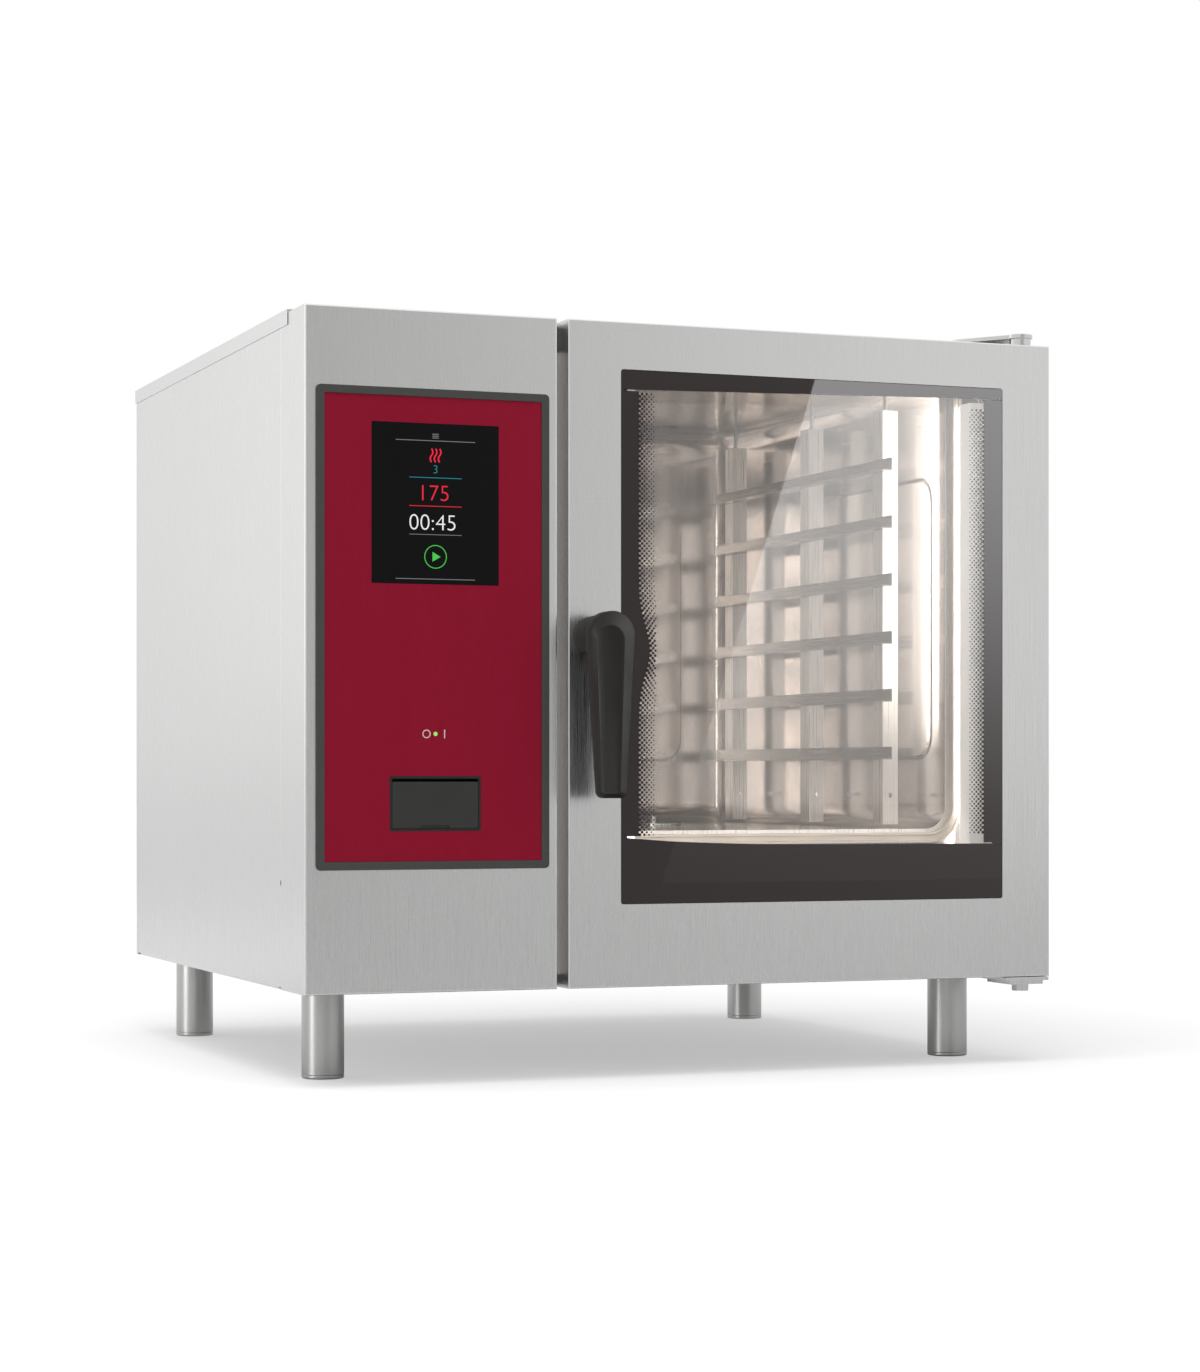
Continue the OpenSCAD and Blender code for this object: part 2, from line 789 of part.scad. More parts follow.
// The posts of one rack, which stand close behind its rails and open towards the wall
module posts() {
    tab_w = hook_w + play;
    front = rail_t + snug;
    back = rail_t + post_size[0];
    mid = rail_t + post_size[0] / 2;
    hole_up = 34;
    hole_r = 3;
    hook_play = 1;
    color(bright_steel) for (v = post_v) difference() {
        union() {
            difference() {
                box([front, v, post_z[0]], [back, v + post_size[1], post_z[1]]);
                box([front + rail_t, v + rail_t, post_z[0] - past],
                    [back + past, v + post_size[1] - rail_t, post_z[1] + past]);
            }
            box([front, v, tab_w], [back, v + post_size[1], tab_w + rail_t]);
        }
        rod_w(mid, v + post_size[1] / 2, tab_w - past, tab_w + 2 * past, hook_r + hook_play);
        rod_v(mid, post_z[0] + hole_up, v - past, v + post_size[1] + past, hole_r);
    }
}

// Brings a right-hand rack piece to its side of the chamber
module right_rack() {
    place() translate([rack_mid + tray_w / 2, 0, 0]) children();
}

module left_rack() {
    place() translate([rack_mid - tray_w / 2, 0, 0]) mirror([1, 0, 0]) children();
}

module rack_left_posts() {
    left_rack() posts();
}

module rack_left_rails() {
    left_rack() rails();
}

module rack_right_posts() {
    right_rack() posts();
}

module rack_right_rails() {
    right_rack() rails();
}

module drain_strainer() {
    cap_r = drain_r + 13;
    cap_t = 2;
    low = cav_a[2] + play;
    hole_rings = [[8, 6], [14, 12]];
    hole_r = 2;
    peg_ring = drain_hole_r - 3.5;
    peg_r = 2.5;
    peg_h = 12;
    knob_r = 4;
    knob_h = 10;
    color(bright_steel) place() translate([drain_u, drain_v, 0]) {
        difference() {
            rod_w(0, 0, low, low + cap_t, cap_r);
            for (ring = hole_rings, i = [0 : ring[1] - 1])
                rotate(i * 360 / ring[1]) rod_w(ring[0], 0, low - past, low + cap_t + past, hole_r);
        }
        for (turn = [0 : 120 : 240]) rotate(turn) rod_w(peg_ring, 0, low - peg_h, low + cap_t / 2, peg_r);
        rod_w(0, 0, low + cap_t / 2, low + knob_h, knob_r);
    }
}

module drain_trap() {
    top = cav_a[2] - sheet - snug;
    floor_w = outlet_w - 30;
    flange_t = 3;
    flange_r = trap_r + 9;
    color(steel) place() difference() {
        union() {
            rod_w(drain_u, drain_v, floor_w, top, trap_r);
            rod_w(drain_u, drain_v, top - flange_t, top, flange_r);
        }
        rod_w(drain_u, drain_v, floor_w + drain_wall, top + past, trap_r - drain_wall);
        rod_v(drain_u, outlet_w, drain_v, drain_v + trap_r + past, drain_hole_r - spigot_step);
    }
}

module drain_pipe() {
    spigot_v = body_d + spigot_gap;
    end_v = body_d + service_out;
    color(steel) place() difference() {
        union() {
            rod_v(drain_u, outlet_w, drain_v, spigot_v, drain_r - spigot_step);
            rod_v(drain_u, outlet_w, spigot_v, end_v, drain_r);
        }
        rod_v(drain_u, outlet_w, drain_v - past, end_v + past, drain_hole_r - spigot_step);
        rod_w(drain_u, drain_v, 0, cav_a[2], trap_r + snug);
    }
}

module vent_pipe() {
    low = cav_b[2] + sheet + snug;
    spigot_w = lid_top + spigot_gap;
    flange_t = 3;
    flange_r = vent_r + 13;
    color(steel) place() difference() {
        union() {
            rod_w(vent_u, vent_v, low, spigot_w, vent_r - spigot_step);
            rod_w(vent_u, vent_v, spigot_w, vent_top, vent_r);
            rod_w(vent_u, vent_v, low, low + flange_t, flange_r);
        }
        rod_w(vent_u, vent_v, low - past, vent_top + past, vent_r - vent_wall);
        rod_u(vent_v, damper_w, vent_u - vent_r - past, vent_u + vent_r + past, damper_rod_r + bush_gap);
    }
}

module vent_damper() {
    arm_u = vent_u + vent_r + 2;
    arm_h = 14;
    arm_t = 3;
    rod_out = 4;
    color(steel) place() {
        rod_w(vent_u, vent_v, damper_w - sheet / 2, damper_w + sheet / 2, damper_r);
        rod_u(vent_v, damper_w, vent_u - vent_r - rod_out, arm_u + rod_out, damper_rod_r);
        box([arm_u, vent_v - damper_rod_r, damper_w - arm_h],
            [arm_u + arm_t, vent_v + damper_rod_r, damper_w]);
    }
}

// Services

module water_valve() {
    coil_r = 13;
    coil_h = 32;
    nut_r = 8;
    face_v = valve_v + valve_d;
    end_v = body_d + service_out - 6;
    color(copper_tone) place() {
        box([steam_u - 12, valve_v, inlet_w - valve_half], [inlet_u[1] + valve_half, face_v, valve_top]);
        for (u = inlet_u) {
            difference() {
                rod_v(u, inlet_w, face_v, end_v, inlet_r);
                rod_v(u, inlet_w, face_v + fold, end_v + past, inlet_r - 4);
            }
            rod_w(u, valve_v + 16, valve_top, valve_top + coil_h, coil_r);
        }
        rod_w(steam_u, steam_start_v, valve_top, steam_start_w, nut_r, $fn = 6);
    }
}

module cable_gland() {
    v0 = body_d - 14;
    hex_v = body_d + 8;
    end_v = body_d + 24;
    color(black_plastic) place() difference() {
        union() {
            rod_v(gland_u, gland_w, v0, body_d, gland_thread_r);
            rod_v(gland_u, gland_w, body_d, hex_v, gland_thread_r + 5, $fn = 6);
            rod_v(gland_u, gland_w, hex_v, end_v, gland_thread_r + 2);
        }
        rod_v(gland_u, gland_w, v0 - past, end_v + past, gland_bore_r);
    }
}

module terminal_block() {
    poles = 5;
    pole_w = 14;
    u0 = 40;
    v0 = body_d - 110;
    base_w = 22;
    color("#c9c6bb") place() {
        box([u0, v0, sheet], [u0 + poles * pole_w, v0 + 44, base_w]);
        for (i = [0 : poles - 1]) difference() {
            box([u0 + i * pole_w + 1, v0 + 8, base_w], [u0 + (i + 1) * pole_w - 1, v0 + 36, base_w + 20]);
            rod_w(u0 + (i + 0.5) * pole_w, v0 + 22, base_w + 12, base_w + 20 + past, 3);
        }
    }
}

module power_board() {
    a = [540, 150];
    b = [700, 380];
    board_u = frame_left - 18;
    post_in = 8;
    relay = [16, 30, 30];
    relay_pitch = 40;
    can_r = 12;
    can_h = 30;
    color(board_green) place() {
        box([board_u, a[0], a[1]], [board_u + board_t, b[0], b[1]]);
        for (v = [a[0] + post_in, b[0] - post_in], w = [a[1] + post_in, b[1] - post_in])
            rod_u(v, w, board_u + board_t, frame_left, board_post_r);
        for (i = [0 : 4])
            translate([board_u - relay[0], a[0] + 14, a[1] + 16 + relay_pitch * i]) cube(relay);
        for (i = [0 : 2]) rod_u(b[0] - can_h, a[1] + 40 + 50 * i, board_u - can_h, board_u, can_r);
    }
}

module cooling_fan_housing() {
    half = cooler_size / 2;
    a = [cooler_u - half, cooler_w - half];
    b = [cooler_u + half, cooler_w + half];
    hub_r = 18;
    spoke = 4;
    spoke_in = 0.5;
    color(black_plastic) place() {
        difference() {
            slab_v(cooler_v[0], cooler_v[1]) panel(a, b, 6);
            rod_v(cooler_u, cooler_w, cooler_v[0] - past, cooler_v[1] + past, cooler_r + 2);
            for (u = [a[0] + 8, b[0] - 8], w = [a[1] + 8, b[1] - 8])
                rod_v(u, w, cooler_v[0] - past, cooler_v[1] + past, 2.2);
        }
        difference() {
            union() {
                rod_v(cooler_u, cooler_w, cooler_v[0], cooler_v[0] + spoke, hub_r);
                for (turn = [45 : 90 : 315]) translate([cooler_u, cooler_v[0], cooler_w]) rotate([0, turn, 0])
                    translate([hub_r - 3, spoke_in, -spoke / 2])
                        cube([cooler_r + 7 - hub_r, spoke - 2 * spoke_in, spoke]);
            }
            rod_v(cooler_u, cooler_w, cooler_v[0] - past, cooler_v[0] + 6, cooler_pin_r + bush_gap);
        }
    }
}

module cooling_fan_wheel() {
    blades = 7;
    hub_r = 20;
    v0 = cooler_v[0] + 5;
    v1 = cooler_v[1] - 1;
    color(dark_plastic) place() translate([cooler_u, 0, cooler_w]) {
        rod_v(0, 0, v0, v1, hub_r);
        rod_v(0, 0, cooler_v[0] - 1, v0, cooler_pin_r);
        for (i = [0 : blades - 1]) rotate([0, i * 360 / blades, 0]) translate([hub_r - 2, (v0 + v1) / 2, 0])
            rotate([35, 0, 0]) translate([0, -10, -1]) cube([cooler_r - hub_r, 20, 2]);
    }
}

// Door

module door_frame() {
    color(steel) place() difference() {
        union() {
            box([door_u, 0, 0], [front_w, sheet, body_h]);
            box([door_u, 0, 0], [door_u + sheet, door_t, body_h]);
            box([front_w - sheet, 0, 0], [front_w, door_t, body_h]);
            box([door_u, 0, 0], [front_w, door_t, sheet]);
            box([door_u, 0, body_h - sheet], [front_w, door_t, body_h]);
        }
        slab_v(-past, sheet + past) panel(window_a, window_b, 3);
        rod_v(pivot_u, pivot_w, -past, sheet + past, handle_bush_r + snug);
        rod_w(hinge_u, hinge_v, -past, sheet + past, bush_r + snug);
        rod_w(hinge_u, hinge_v, body_h - sheet - past, body_h + past, bush_r + snug);
    }
}

module outer_glass() {
    color(clear_glass) place() slab_v(pane_recess, pane_back) grown_panel(window_a, window_b, -0.5, 3);
}

module glass_seal() {
    color(rubber_black) place() slab_v(pane_back, seal_back) difference() {
        grown_panel(window_a, window_b, 3, 5);
        grown_panel(window_a, window_b, -9, 3);
    }
}

module door_liner() {
    a = [door_u + sheet, sheet];
    b = [front_w - sheet, body_h - sheet];
    color(bright_steel) place() difference() {
        union() {
            slab_v(liner_front, liner_back) panel(a, b, 1);
            slab_v(seal_back, liner_front + 0.5) difference() {
                grown_panel(window_a, window_b, tunnel_out, 5);
                grown_panel(window_a, window_b, tunnel_out - tunnel_t, 4);
            }
        }
        slab_v(liner_front - past, liner_back + past) panel(liner_hole_a, liner_hole_b, 12);
        rod_v(pivot_u, pivot_w, liner_front - past, liner_back + past, handle_bush_r + snug);
    }
}

module inner_glass() {
    corner = 8;
    color(clear_glass) place() slab_v(liner_back, liner_back + inner_pane_t)
        panel(inner_pane_a, inner_pane_b, corner);
}

module inner_glass_clips() {
    reach = 8;
    foot = 7;
    height = 34;
    back = liner_back + inner_pane_t;
    top = back + 1.3;
    low_w = inner_pane_a[1] + 14;
    high_w = inner_pane_b[1] - 14 - height;
    color(bright_steel) place() for (dir = [-1, 1], w = [low_w, high_w]) {
        edge = dir < 0 ? inner_pane_a[0] : inner_pane_b[0];
        near = edge + dir * play;
        far = edge + dir * foot;
        over = edge - dir * reach;
        box([min(near, far), liner_back, w], [max(near, far), top, w + height]);
        box([min(over, far), back + snug, w], [max(over, far), top, w + height]);
    }
}

// The two light bars of the door: troughs with their open sides towards the oven
module light_bars() {
    color("#c4c6c6") place() for (u0 = [left_bar_u, right_bar_u])
        difference() {
            box([u0, bar_v[0], bar_low], [u0 + bar_w, bar_v[1], bar_high]);
            box([u0 + bar_wall, bar_v[0] + bar_wall, bar_low + bar_wall],
                [u0 + bar_w - bar_wall, bar_v[1] + past, bar_high - bar_wall]);
        }
}

module light_diffusers() {
    inset = bar_wall + 0.3;
    depth = 10;
    cover = 2;
    inner = inset + cover;
    color("#fff6e0") place() for (u0 = [left_bar_u, right_bar_u])
        difference() {
            box([u0 + inset, bar_v[1] - depth, bar_low + inset],
                [u0 + bar_w - inset, bar_v[1], bar_high - inset]);
            box([u0 + inner, bar_v[1] - depth - past, bar_low + inner],
                [u0 + bar_w - inner, bar_v[1] - cover, bar_high - inner]);
        }
}

// Flanged bush standing in the door's edge sheet, whose flange is inside the door
module hinge_bush(w0, w1, flange_w) {
    difference() {
        union() {
            rod_w(hinge_u, hinge_v, w0, w1, bush_r);
            rod_w(hinge_u, hinge_v, flange_w, flange_w + bush_flange, bush_r + 5);
        }
        rod_w(hinge_u, hinge_v, w0 - past, w1 + past, hinge_pin_r + bush_gap);
    }
}

// Plain bush through the door for the handle's spindle
module handle_bush() {
    difference() {
        rod_v(pivot_u, pivot_w, 0, liner_back + 1, handle_bush_r);
        rod_v(pivot_u, pivot_w, -past, liner_back + past, spindle_r + bush_gap);
    }
}

module door_bushes() {
    color(copper_tone) place() {
        hinge_bush(0, bush_h, sheet + snug);
        hinge_bush(body_h - bush_h, body_h, body_h - sheet - snug - bush_flange);
        handle_bush();
    }
}

// Door hardware

module hinge_top_plate() {
    nose_r = 14;
    plate = [body_h + 9, body_h + 14];
    back = 140;
    left = hinge_u - nose_r - 39;
    right = cab_w - 2;
    shoulder_v = hinge_v + 10;
    slope_v = hinge_v + 55;
    block_u = [left + 6, right - 2];
    block_v = [lid_front + 12, back - 4];
    pin_shoulder = body_h + 1;
    color(steel) place() {
        slab_w(plate[0], plate[1]) {
            translate([hinge_u, hinge_v]) circle(nose_r);
            polygon([[hinge_u - nose_r, hinge_v], [hinge_u + nose_r - 1, hinge_v], [right, shoulder_v],
                [right, back], [left, back], [left, slope_v]]);
        }
        box([block_u[0], block_v[0], lid_top], [block_u[1], block_v[1], plate[0]]);
        rod_w(hinge_u, hinge_v, pin_shoulder, plate[0], nose_r - 2);
        rod_w(hinge_u, hinge_v, body_h - bush_h, pin_shoulder, hinge_pin_r);
    }
}

module hinge_bottom_bracket() {
    top = -0.6;
    plate_low = top - 4;
    block_low = -9;
    block_half = 21;
    block_v = [4, 60];
    plate_back = 80;
    tongue = [cab_w - 19, cab_w - 2];
    tongue_back = 140;
    nut_low = -17;
    nut_r = 9.5;
    color(steel) place() {
        box([hinge_u - 29, 0, plate_low], [front_w - 1, plate_back, top]);
        box([tongue[0], plate_back, plate_low], [tongue[1], tongue_back, 0]);
        box([hinge_u - block_half, block_v[0], block_low], [hinge_u + block_half, block_v[1], plate_low]);
        rod_w(hinge_u, hinge_v, nut_low, block_low, nut_r);
        rod_w(hinge_u, hinge_v, top, bush_h, hinge_pin_r);
    }
}

module latch_keeper() {
    plate_v = frame_v - 1.7;
    plate_past = 5;
    jaw = [cam_r + 1.6, cam_r + 15];
    jaw_in = 4;
    jaw_front = door_t + 3;
    half = 22;
    reach = jaw[1] + plate_past;
    color(steel) place() {
        box([pivot_u - half, plate_v, pivot_w - reach], [pivot_u + half, frame_v, pivot_w + reach]);
        for (dir = [-1, 1]) {
            w0 = pivot_w + dir * jaw[0];
            w1 = pivot_w + dir * jaw[1];
            box([pivot_u - half + jaw_in, jaw_front, min(w0, w1)],
                [pivot_u + half - jaw_in, plate_v, max(w0, w1)]);
        }
    }
}

module door_switch() {
    a = [door_u + 10, 620];
    b = [door_u + 24, 668];
    case_v = frame_v - 6;
    button_v = case_v - 2;
    press_r = 5;
    color(black_plastic) place() {
        box([a[0], case_v, a[1]], [b[0], frame_v, b[1]]);
        rod_v((a[0] + b[0]) / 2, (a[1] + b[1]) / 2, button_v, case_v, press_r);
    }
}

module handle_lever() {
    face = -lever_out;
    shoulder = face + 8;
    rear = -34;
    low = -lever_drop;
    end_r = 6;
    end_half = lever_end_w / 2 - end_r;
    recess = 1.2;
    slice = 0.2;
    door_room = 0.6;
    color(black_plastic) place() translate([pivot_u, 0, pivot_w]) difference() {
        union() {
            hull() {
                rod_v(0, 0, face, face + slice, lever_head_r - 5, $fn = 32);
                rod_v(0, 0, shoulder, rear, lever_head_r, $fn = 32);
                for (x = [-1, 1]) {
                    rod_v(x * (end_half - 1), low + end_r + 3, face, face + slice, end_r - 2, $fn = 24);
                    rod_v(x * end_half, low + end_r, shoulder - 2, rear - 6, end_r, $fn = 24);
                }
            }
            translate([0, -door_room, 0]) rotate([90, 0, 0])
                cylinder(h = -door_room - rear, r1 = neck_r, r2 = lever_head_r - 3);
        }
        hull() {
            rod_v(0, 0, face - past, face + recess, lever_head_r - 9, $fn = 32);
            for (x = [-1, 1])
                rod_v(x * (end_half - 3), low + end_r + 8, face - past, face + recess, end_r - 3, $fn = 24);
        }
        rod_v(0, 0, rear - 8, past, spindle_r + 0.1);
    }
}

module handle_spindle() {
    cam_half = 7;
    color(steel) place() {
        rod_v(pivot_u, pivot_w, -40, cam_v[0], spindle_r);
        intersection() {
            rod_v(pivot_u, pivot_w, cam_v[0], cam_v[1], cam_r);
            box([pivot_u - cam_half, cam_v[0], pivot_w - cam_r],
                [pivot_u + cam_half, cam_v[1], pivot_w + cam_r]);
        }
    }
}

// Screw foot under the leg at u and v
module screw_foot(u, v) {
    color(steel) place() {
        translate([u, v, -leg_h]) cylinder(h = foot_edge, r1 = leg_d / 2 - foot_edge, r2 = leg_d / 2);
        rod_w(u, v, -leg_h + foot_edge, -leg_h + foot_pad_h, leg_d / 2);
        rod_w(u, v, -leg_h + foot_pad_h, foot_stud_top, foot_stud_r);
    }
}

module foot_front_left() {
    screw_foot(leg_u[0], leg_v[0]);
}

module foot_front_right() {
    screw_foot(leg_u[1], leg_v[0]);
}

module foot_rear_left() {
    screw_foot(leg_u[0], leg_v[1]);
}

module foot_rear_right() {
    screw_foot(leg_u[1], leg_v[1]);
}

base_pan();
left_side_panel();
right_side_panel();
rear_panel();
top_cover();
control_fascia();
front_frame();
leg_tubes();
casing_screws();
control_bezel();
control_glass();
touch_display();
power_lamp();
usb_socket();
usb_flap();
control_board();
cavity_liner();
cavity_insulation();
door_gasket();
fan_baffle();
fan_wheel();
fan_shaft();
fan_motor();
heating_element();
steam_pipe();
rack_hooks();
rack_left_posts();
rack_left_rails();
rack_right_posts();
rack_right_rails();
drain_strainer();
drain_trap();
drain_pipe();
vent_pipe();
vent_damper();
water_valve();
cable_gland();
terminal_block();
power_board();
cooling_fan_housing();
cooling_fan_wheel();
door_frame();
outer_glass();
glass_seal();
door_liner();
inner_glass();
inner_glass_clips();
light_bars();
light_diffusers();
door_bushes();
hinge_top_plate();
hinge_bottom_bracket();
latch_keeper();
door_switch();
handle_lever();
handle_spindle();
foot_front_left();
foot_front_right();
foot_rear_left();
foot_rear_right();
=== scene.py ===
# %% [markdown]
# # A combi steamer oven, dressed piece by piece
# The construction of the oven is already made and packed: every sheet, pin and bush sits at its real place.
# This lesson loads that construction as a fixed frame and gives each piece the finish it has on the real
# oven. Nothing is moved. Where a form needs softer edges or finer detail, a new piece takes the place of
# the plain one.

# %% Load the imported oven
import json
import math

import bmesh
import bpy
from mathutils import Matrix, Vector

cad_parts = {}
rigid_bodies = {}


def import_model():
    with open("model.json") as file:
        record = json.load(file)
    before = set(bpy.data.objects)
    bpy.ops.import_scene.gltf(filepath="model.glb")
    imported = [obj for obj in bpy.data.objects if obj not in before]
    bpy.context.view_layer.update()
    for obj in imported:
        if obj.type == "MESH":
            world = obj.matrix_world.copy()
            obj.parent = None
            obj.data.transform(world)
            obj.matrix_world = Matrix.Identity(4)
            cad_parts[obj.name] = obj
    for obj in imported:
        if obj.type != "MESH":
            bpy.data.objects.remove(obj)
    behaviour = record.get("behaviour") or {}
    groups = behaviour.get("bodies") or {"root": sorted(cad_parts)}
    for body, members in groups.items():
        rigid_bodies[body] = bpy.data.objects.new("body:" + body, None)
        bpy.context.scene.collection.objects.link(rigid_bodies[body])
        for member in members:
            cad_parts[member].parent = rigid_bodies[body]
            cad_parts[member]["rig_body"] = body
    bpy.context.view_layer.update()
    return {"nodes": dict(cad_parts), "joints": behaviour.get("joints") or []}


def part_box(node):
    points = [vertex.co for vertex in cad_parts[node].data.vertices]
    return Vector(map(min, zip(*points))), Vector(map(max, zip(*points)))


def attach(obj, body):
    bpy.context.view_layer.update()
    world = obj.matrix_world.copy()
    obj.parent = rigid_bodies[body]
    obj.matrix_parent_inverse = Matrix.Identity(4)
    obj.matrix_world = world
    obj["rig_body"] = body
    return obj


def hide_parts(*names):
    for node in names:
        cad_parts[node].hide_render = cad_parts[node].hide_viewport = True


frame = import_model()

parts = frame["nodes"]
MM = 0.001

# %% [markdown]
# ## The camera
# The portrait is taken from low down and from the left, so the left side of the casing shows and the legs
# stand almost at eye level. A level camera with a vertical shift keeps all upright edges parallel, as a
# product photographer does with a shift lens. A tilted camera would make the casing lean.

# %% Camera
picture_tall = 1372
horizon_row = 776.6
film = 36.0
camera_place = (-1.2937, -3.44547, 0.32597)
camera_turn = -21.134
eye = bpy.data.cameras.new("portrait_lens")
eye.sensor_width = film
eye.lens = 79.87
eye.shift_y = (horizon_row - picture_tall / 2) / picture_tall
camera = bpy.data.objects.new("portrait_camera", eye)
camera.location = camera_place
camera.rotation_euler = (math.radians(90), 0, math.radians(camera_turn))
bpy.context.scene.collection.objects.link(camera)
bpy.context.scene.camera = camera
bpy.context.scene.view_settings.view_transform = "Standard"
print("camera shift:", round(eye.shift_y, 4))

# %% [markdown]
# ## The studio
# The oven stands on a pale seamless floor in white surroundings. What the camera and shiny surfaces see of
# the surroundings is plain white. What lights the oven is a softer, dimmer white, so that colours stay as
# mixed. Light Path tells the two apart. The floor adds a little of its own white for the camera and keeps
# the shadow.


# %% Seen or lighting
def seen_rays(tree):
    """A socket that is 1 for rays that show a surface: straight, mirrored or through glass."""
    path = tree.nodes.new("ShaderNodeLightPath")
    seen = path.outputs["Is Camera Ray"]
    for kind in ("Is Glossy Ray", "Is Transmission Ray"):
        either = tree.nodes.new("ShaderNodeMath")
        either.operation = "MAXIMUM"
        tree.links.new(seen, either.inputs[0])
        tree.links.new(path.outputs[kind], either.inputs[1])
        seen = either.outputs[0]
    return seen


# %% Surroundings
ambient = 0.62
world = bpy.data.worlds.new("white_studio")
bpy.context.scene.world = world
world.use_nodes = True
sky = world.node_tree
soft_light = sky.nodes["Background"]
soft_light.inputs["Strength"].default_value = ambient
soft_light.inputs["Color"].default_value = (1, 1, 1, 1)
white_wall = sky.nodes.new("ShaderNodeBackground")
white_wall.inputs["Color"].default_value = (1, 1, 1, 1)
wall_mix = sky.nodes.new("ShaderNodeMixShader")
sky.links.new(seen_rays(sky), wall_mix.inputs[0])
sky.links.new(soft_light.outputs[0], wall_mix.inputs[1])
sky.links.new(white_wall.outputs[0], wall_mix.inputs[2])
sky.links.new(wall_mix.outputs[0], sky.nodes["World Output"].inputs[0])
print("ambient light:", ambient)


# %% Floor
def flat_sheet(name, corners):
    """A four-cornered stage sheet."""
    mesh = bpy.data.meshes.new(name)
    mesh.from_pydata([Vector(c) for c in corners], [], [(0, 1, 2, 3)])
    sheet = bpy.data.objects.new(name, mesh)
    bpy.context.scene.collection.objects.link(sheet)
    return sheet


reach = 30.0
under = -0.0004
quarters = ((-1, -1), (1, -1), (1, 1), (-1, 1))
floor = flat_sheet("floor", [(x * reach, y * reach, under) for x, y in quarters])
floor_white = bpy.data.materials.new("floor_white")
floor_white.use_nodes = True
floor_tree = floor_white.node_tree
floor_shader = floor_tree.nodes["Principled BSDF"]
floor_look = {"Base Color": (0.62, 0.62, 0.625, 1), "Roughness": 0.9, "Specular IOR Level": 0.0,
              "Emission Color": (1, 1, 1, 1)}
for socket, value in floor_look.items():
    floor_shader.inputs[socket].default_value = value
floor_place = floor_tree.nodes.new("ShaderNodeTexCoord")
floor_far = floor_tree.nodes.new("ShaderNodeVectorMath")
floor_far.operation = "LENGTH"
floor_tree.links.new(floor_place.outputs["Object"], floor_far.inputs[0])
floor_split = floor_tree.nodes.new("ShaderNodeSeparateXYZ")
floor_tree.links.new(floor_place.outputs["Object"], floor_split.inputs[0])
floor_path = floor_tree.nodes.new("ShaderNodeLightPath")


def floor_glow(distance, start, end, low, high, ray):
    """White that the floor adds for one kind of ray, from low at the start distance to high at the end."""
    fade = floor_tree.nodes.new("ShaderNodeMapRange")
    for socket, value in (("From Min", start), ("From Max", end), ("To Min", low), ("To Max", high)):
        fade.inputs[socket].default_value = value
    floor_tree.links.new(distance, fade.inputs["Value"])
    lift = floor_tree.nodes.new("ShaderNodeMath")
    lift.operation = "MULTIPLY"
    floor_tree.links.new(floor_path.outputs[ray], lift.inputs[0])
    floor_tree.links.new(fade.outputs[0], lift.inputs[1])
    return lift.outputs[0]


floor_sum = floor_tree.nodes.new("ShaderNodeMath")
far = floor_far.outputs["Value"]
back = floor_split.outputs["Y"]
seen_glow = floor_glow(far, start=0.9, end=3.5, low=0.42, high=0.66, ray="Is Camera Ray")
mirrored_glow = floor_glow(back, start=-0.3, end=1.5, low=0.0, high=0.5, ray="Is Glossy Ray")
floor_tree.links.new(seen_glow, floor_sum.inputs[0])
floor_tree.links.new(mirrored_glow, floor_sum.inputs[1])
floor_tree.links.new(floor_sum.outputs[0], floor_shader.inputs["Emission Strength"])
floor.data.materials.append(floor_white)
print("floor:", reach * 2, "metres wide")

# %% [markdown]
# Two lamps light the oven from outside: a wide soft one overhead, which the steel lid doesn't mirror, and a
# weak one at the back left that rakes along the side panel. Weak strips light the chamber, its sill and the
# gap beside the door. A card that only mirrors can see gives the brushed front its tone: without anything
# grey to mirror, polished metal in a white room looks like paper. Two more cards and three lamps are each
# meant for some pieces alone: a bright slanting glare in the door's outer pane, which fades out downwards,
# a soft gleam on the handle's right chamfer, light along the left of the handle and of the legs, and the
# scattered light of the oven's own lamps on the chamber's walls.


# %% Lamps and cards
def soft_lamp(name, place, target, size, power):
    """A square soft lamp that points at a target and is not seen itself."""
    glow = bpy.data.lights.new(name, "AREA")
    glow.size = size
    glow.energy = power
    lamp = bpy.data.objects.new(name, glow)
    lamp.location = place
    lamp.rotation_euler = (Vector(target) - Vector(place)).to_track_quat("-Z", "Y").to_euler()
    lamp.visible_camera = False
    bpy.context.scene.collection.objects.link(lamp)
    return lamp


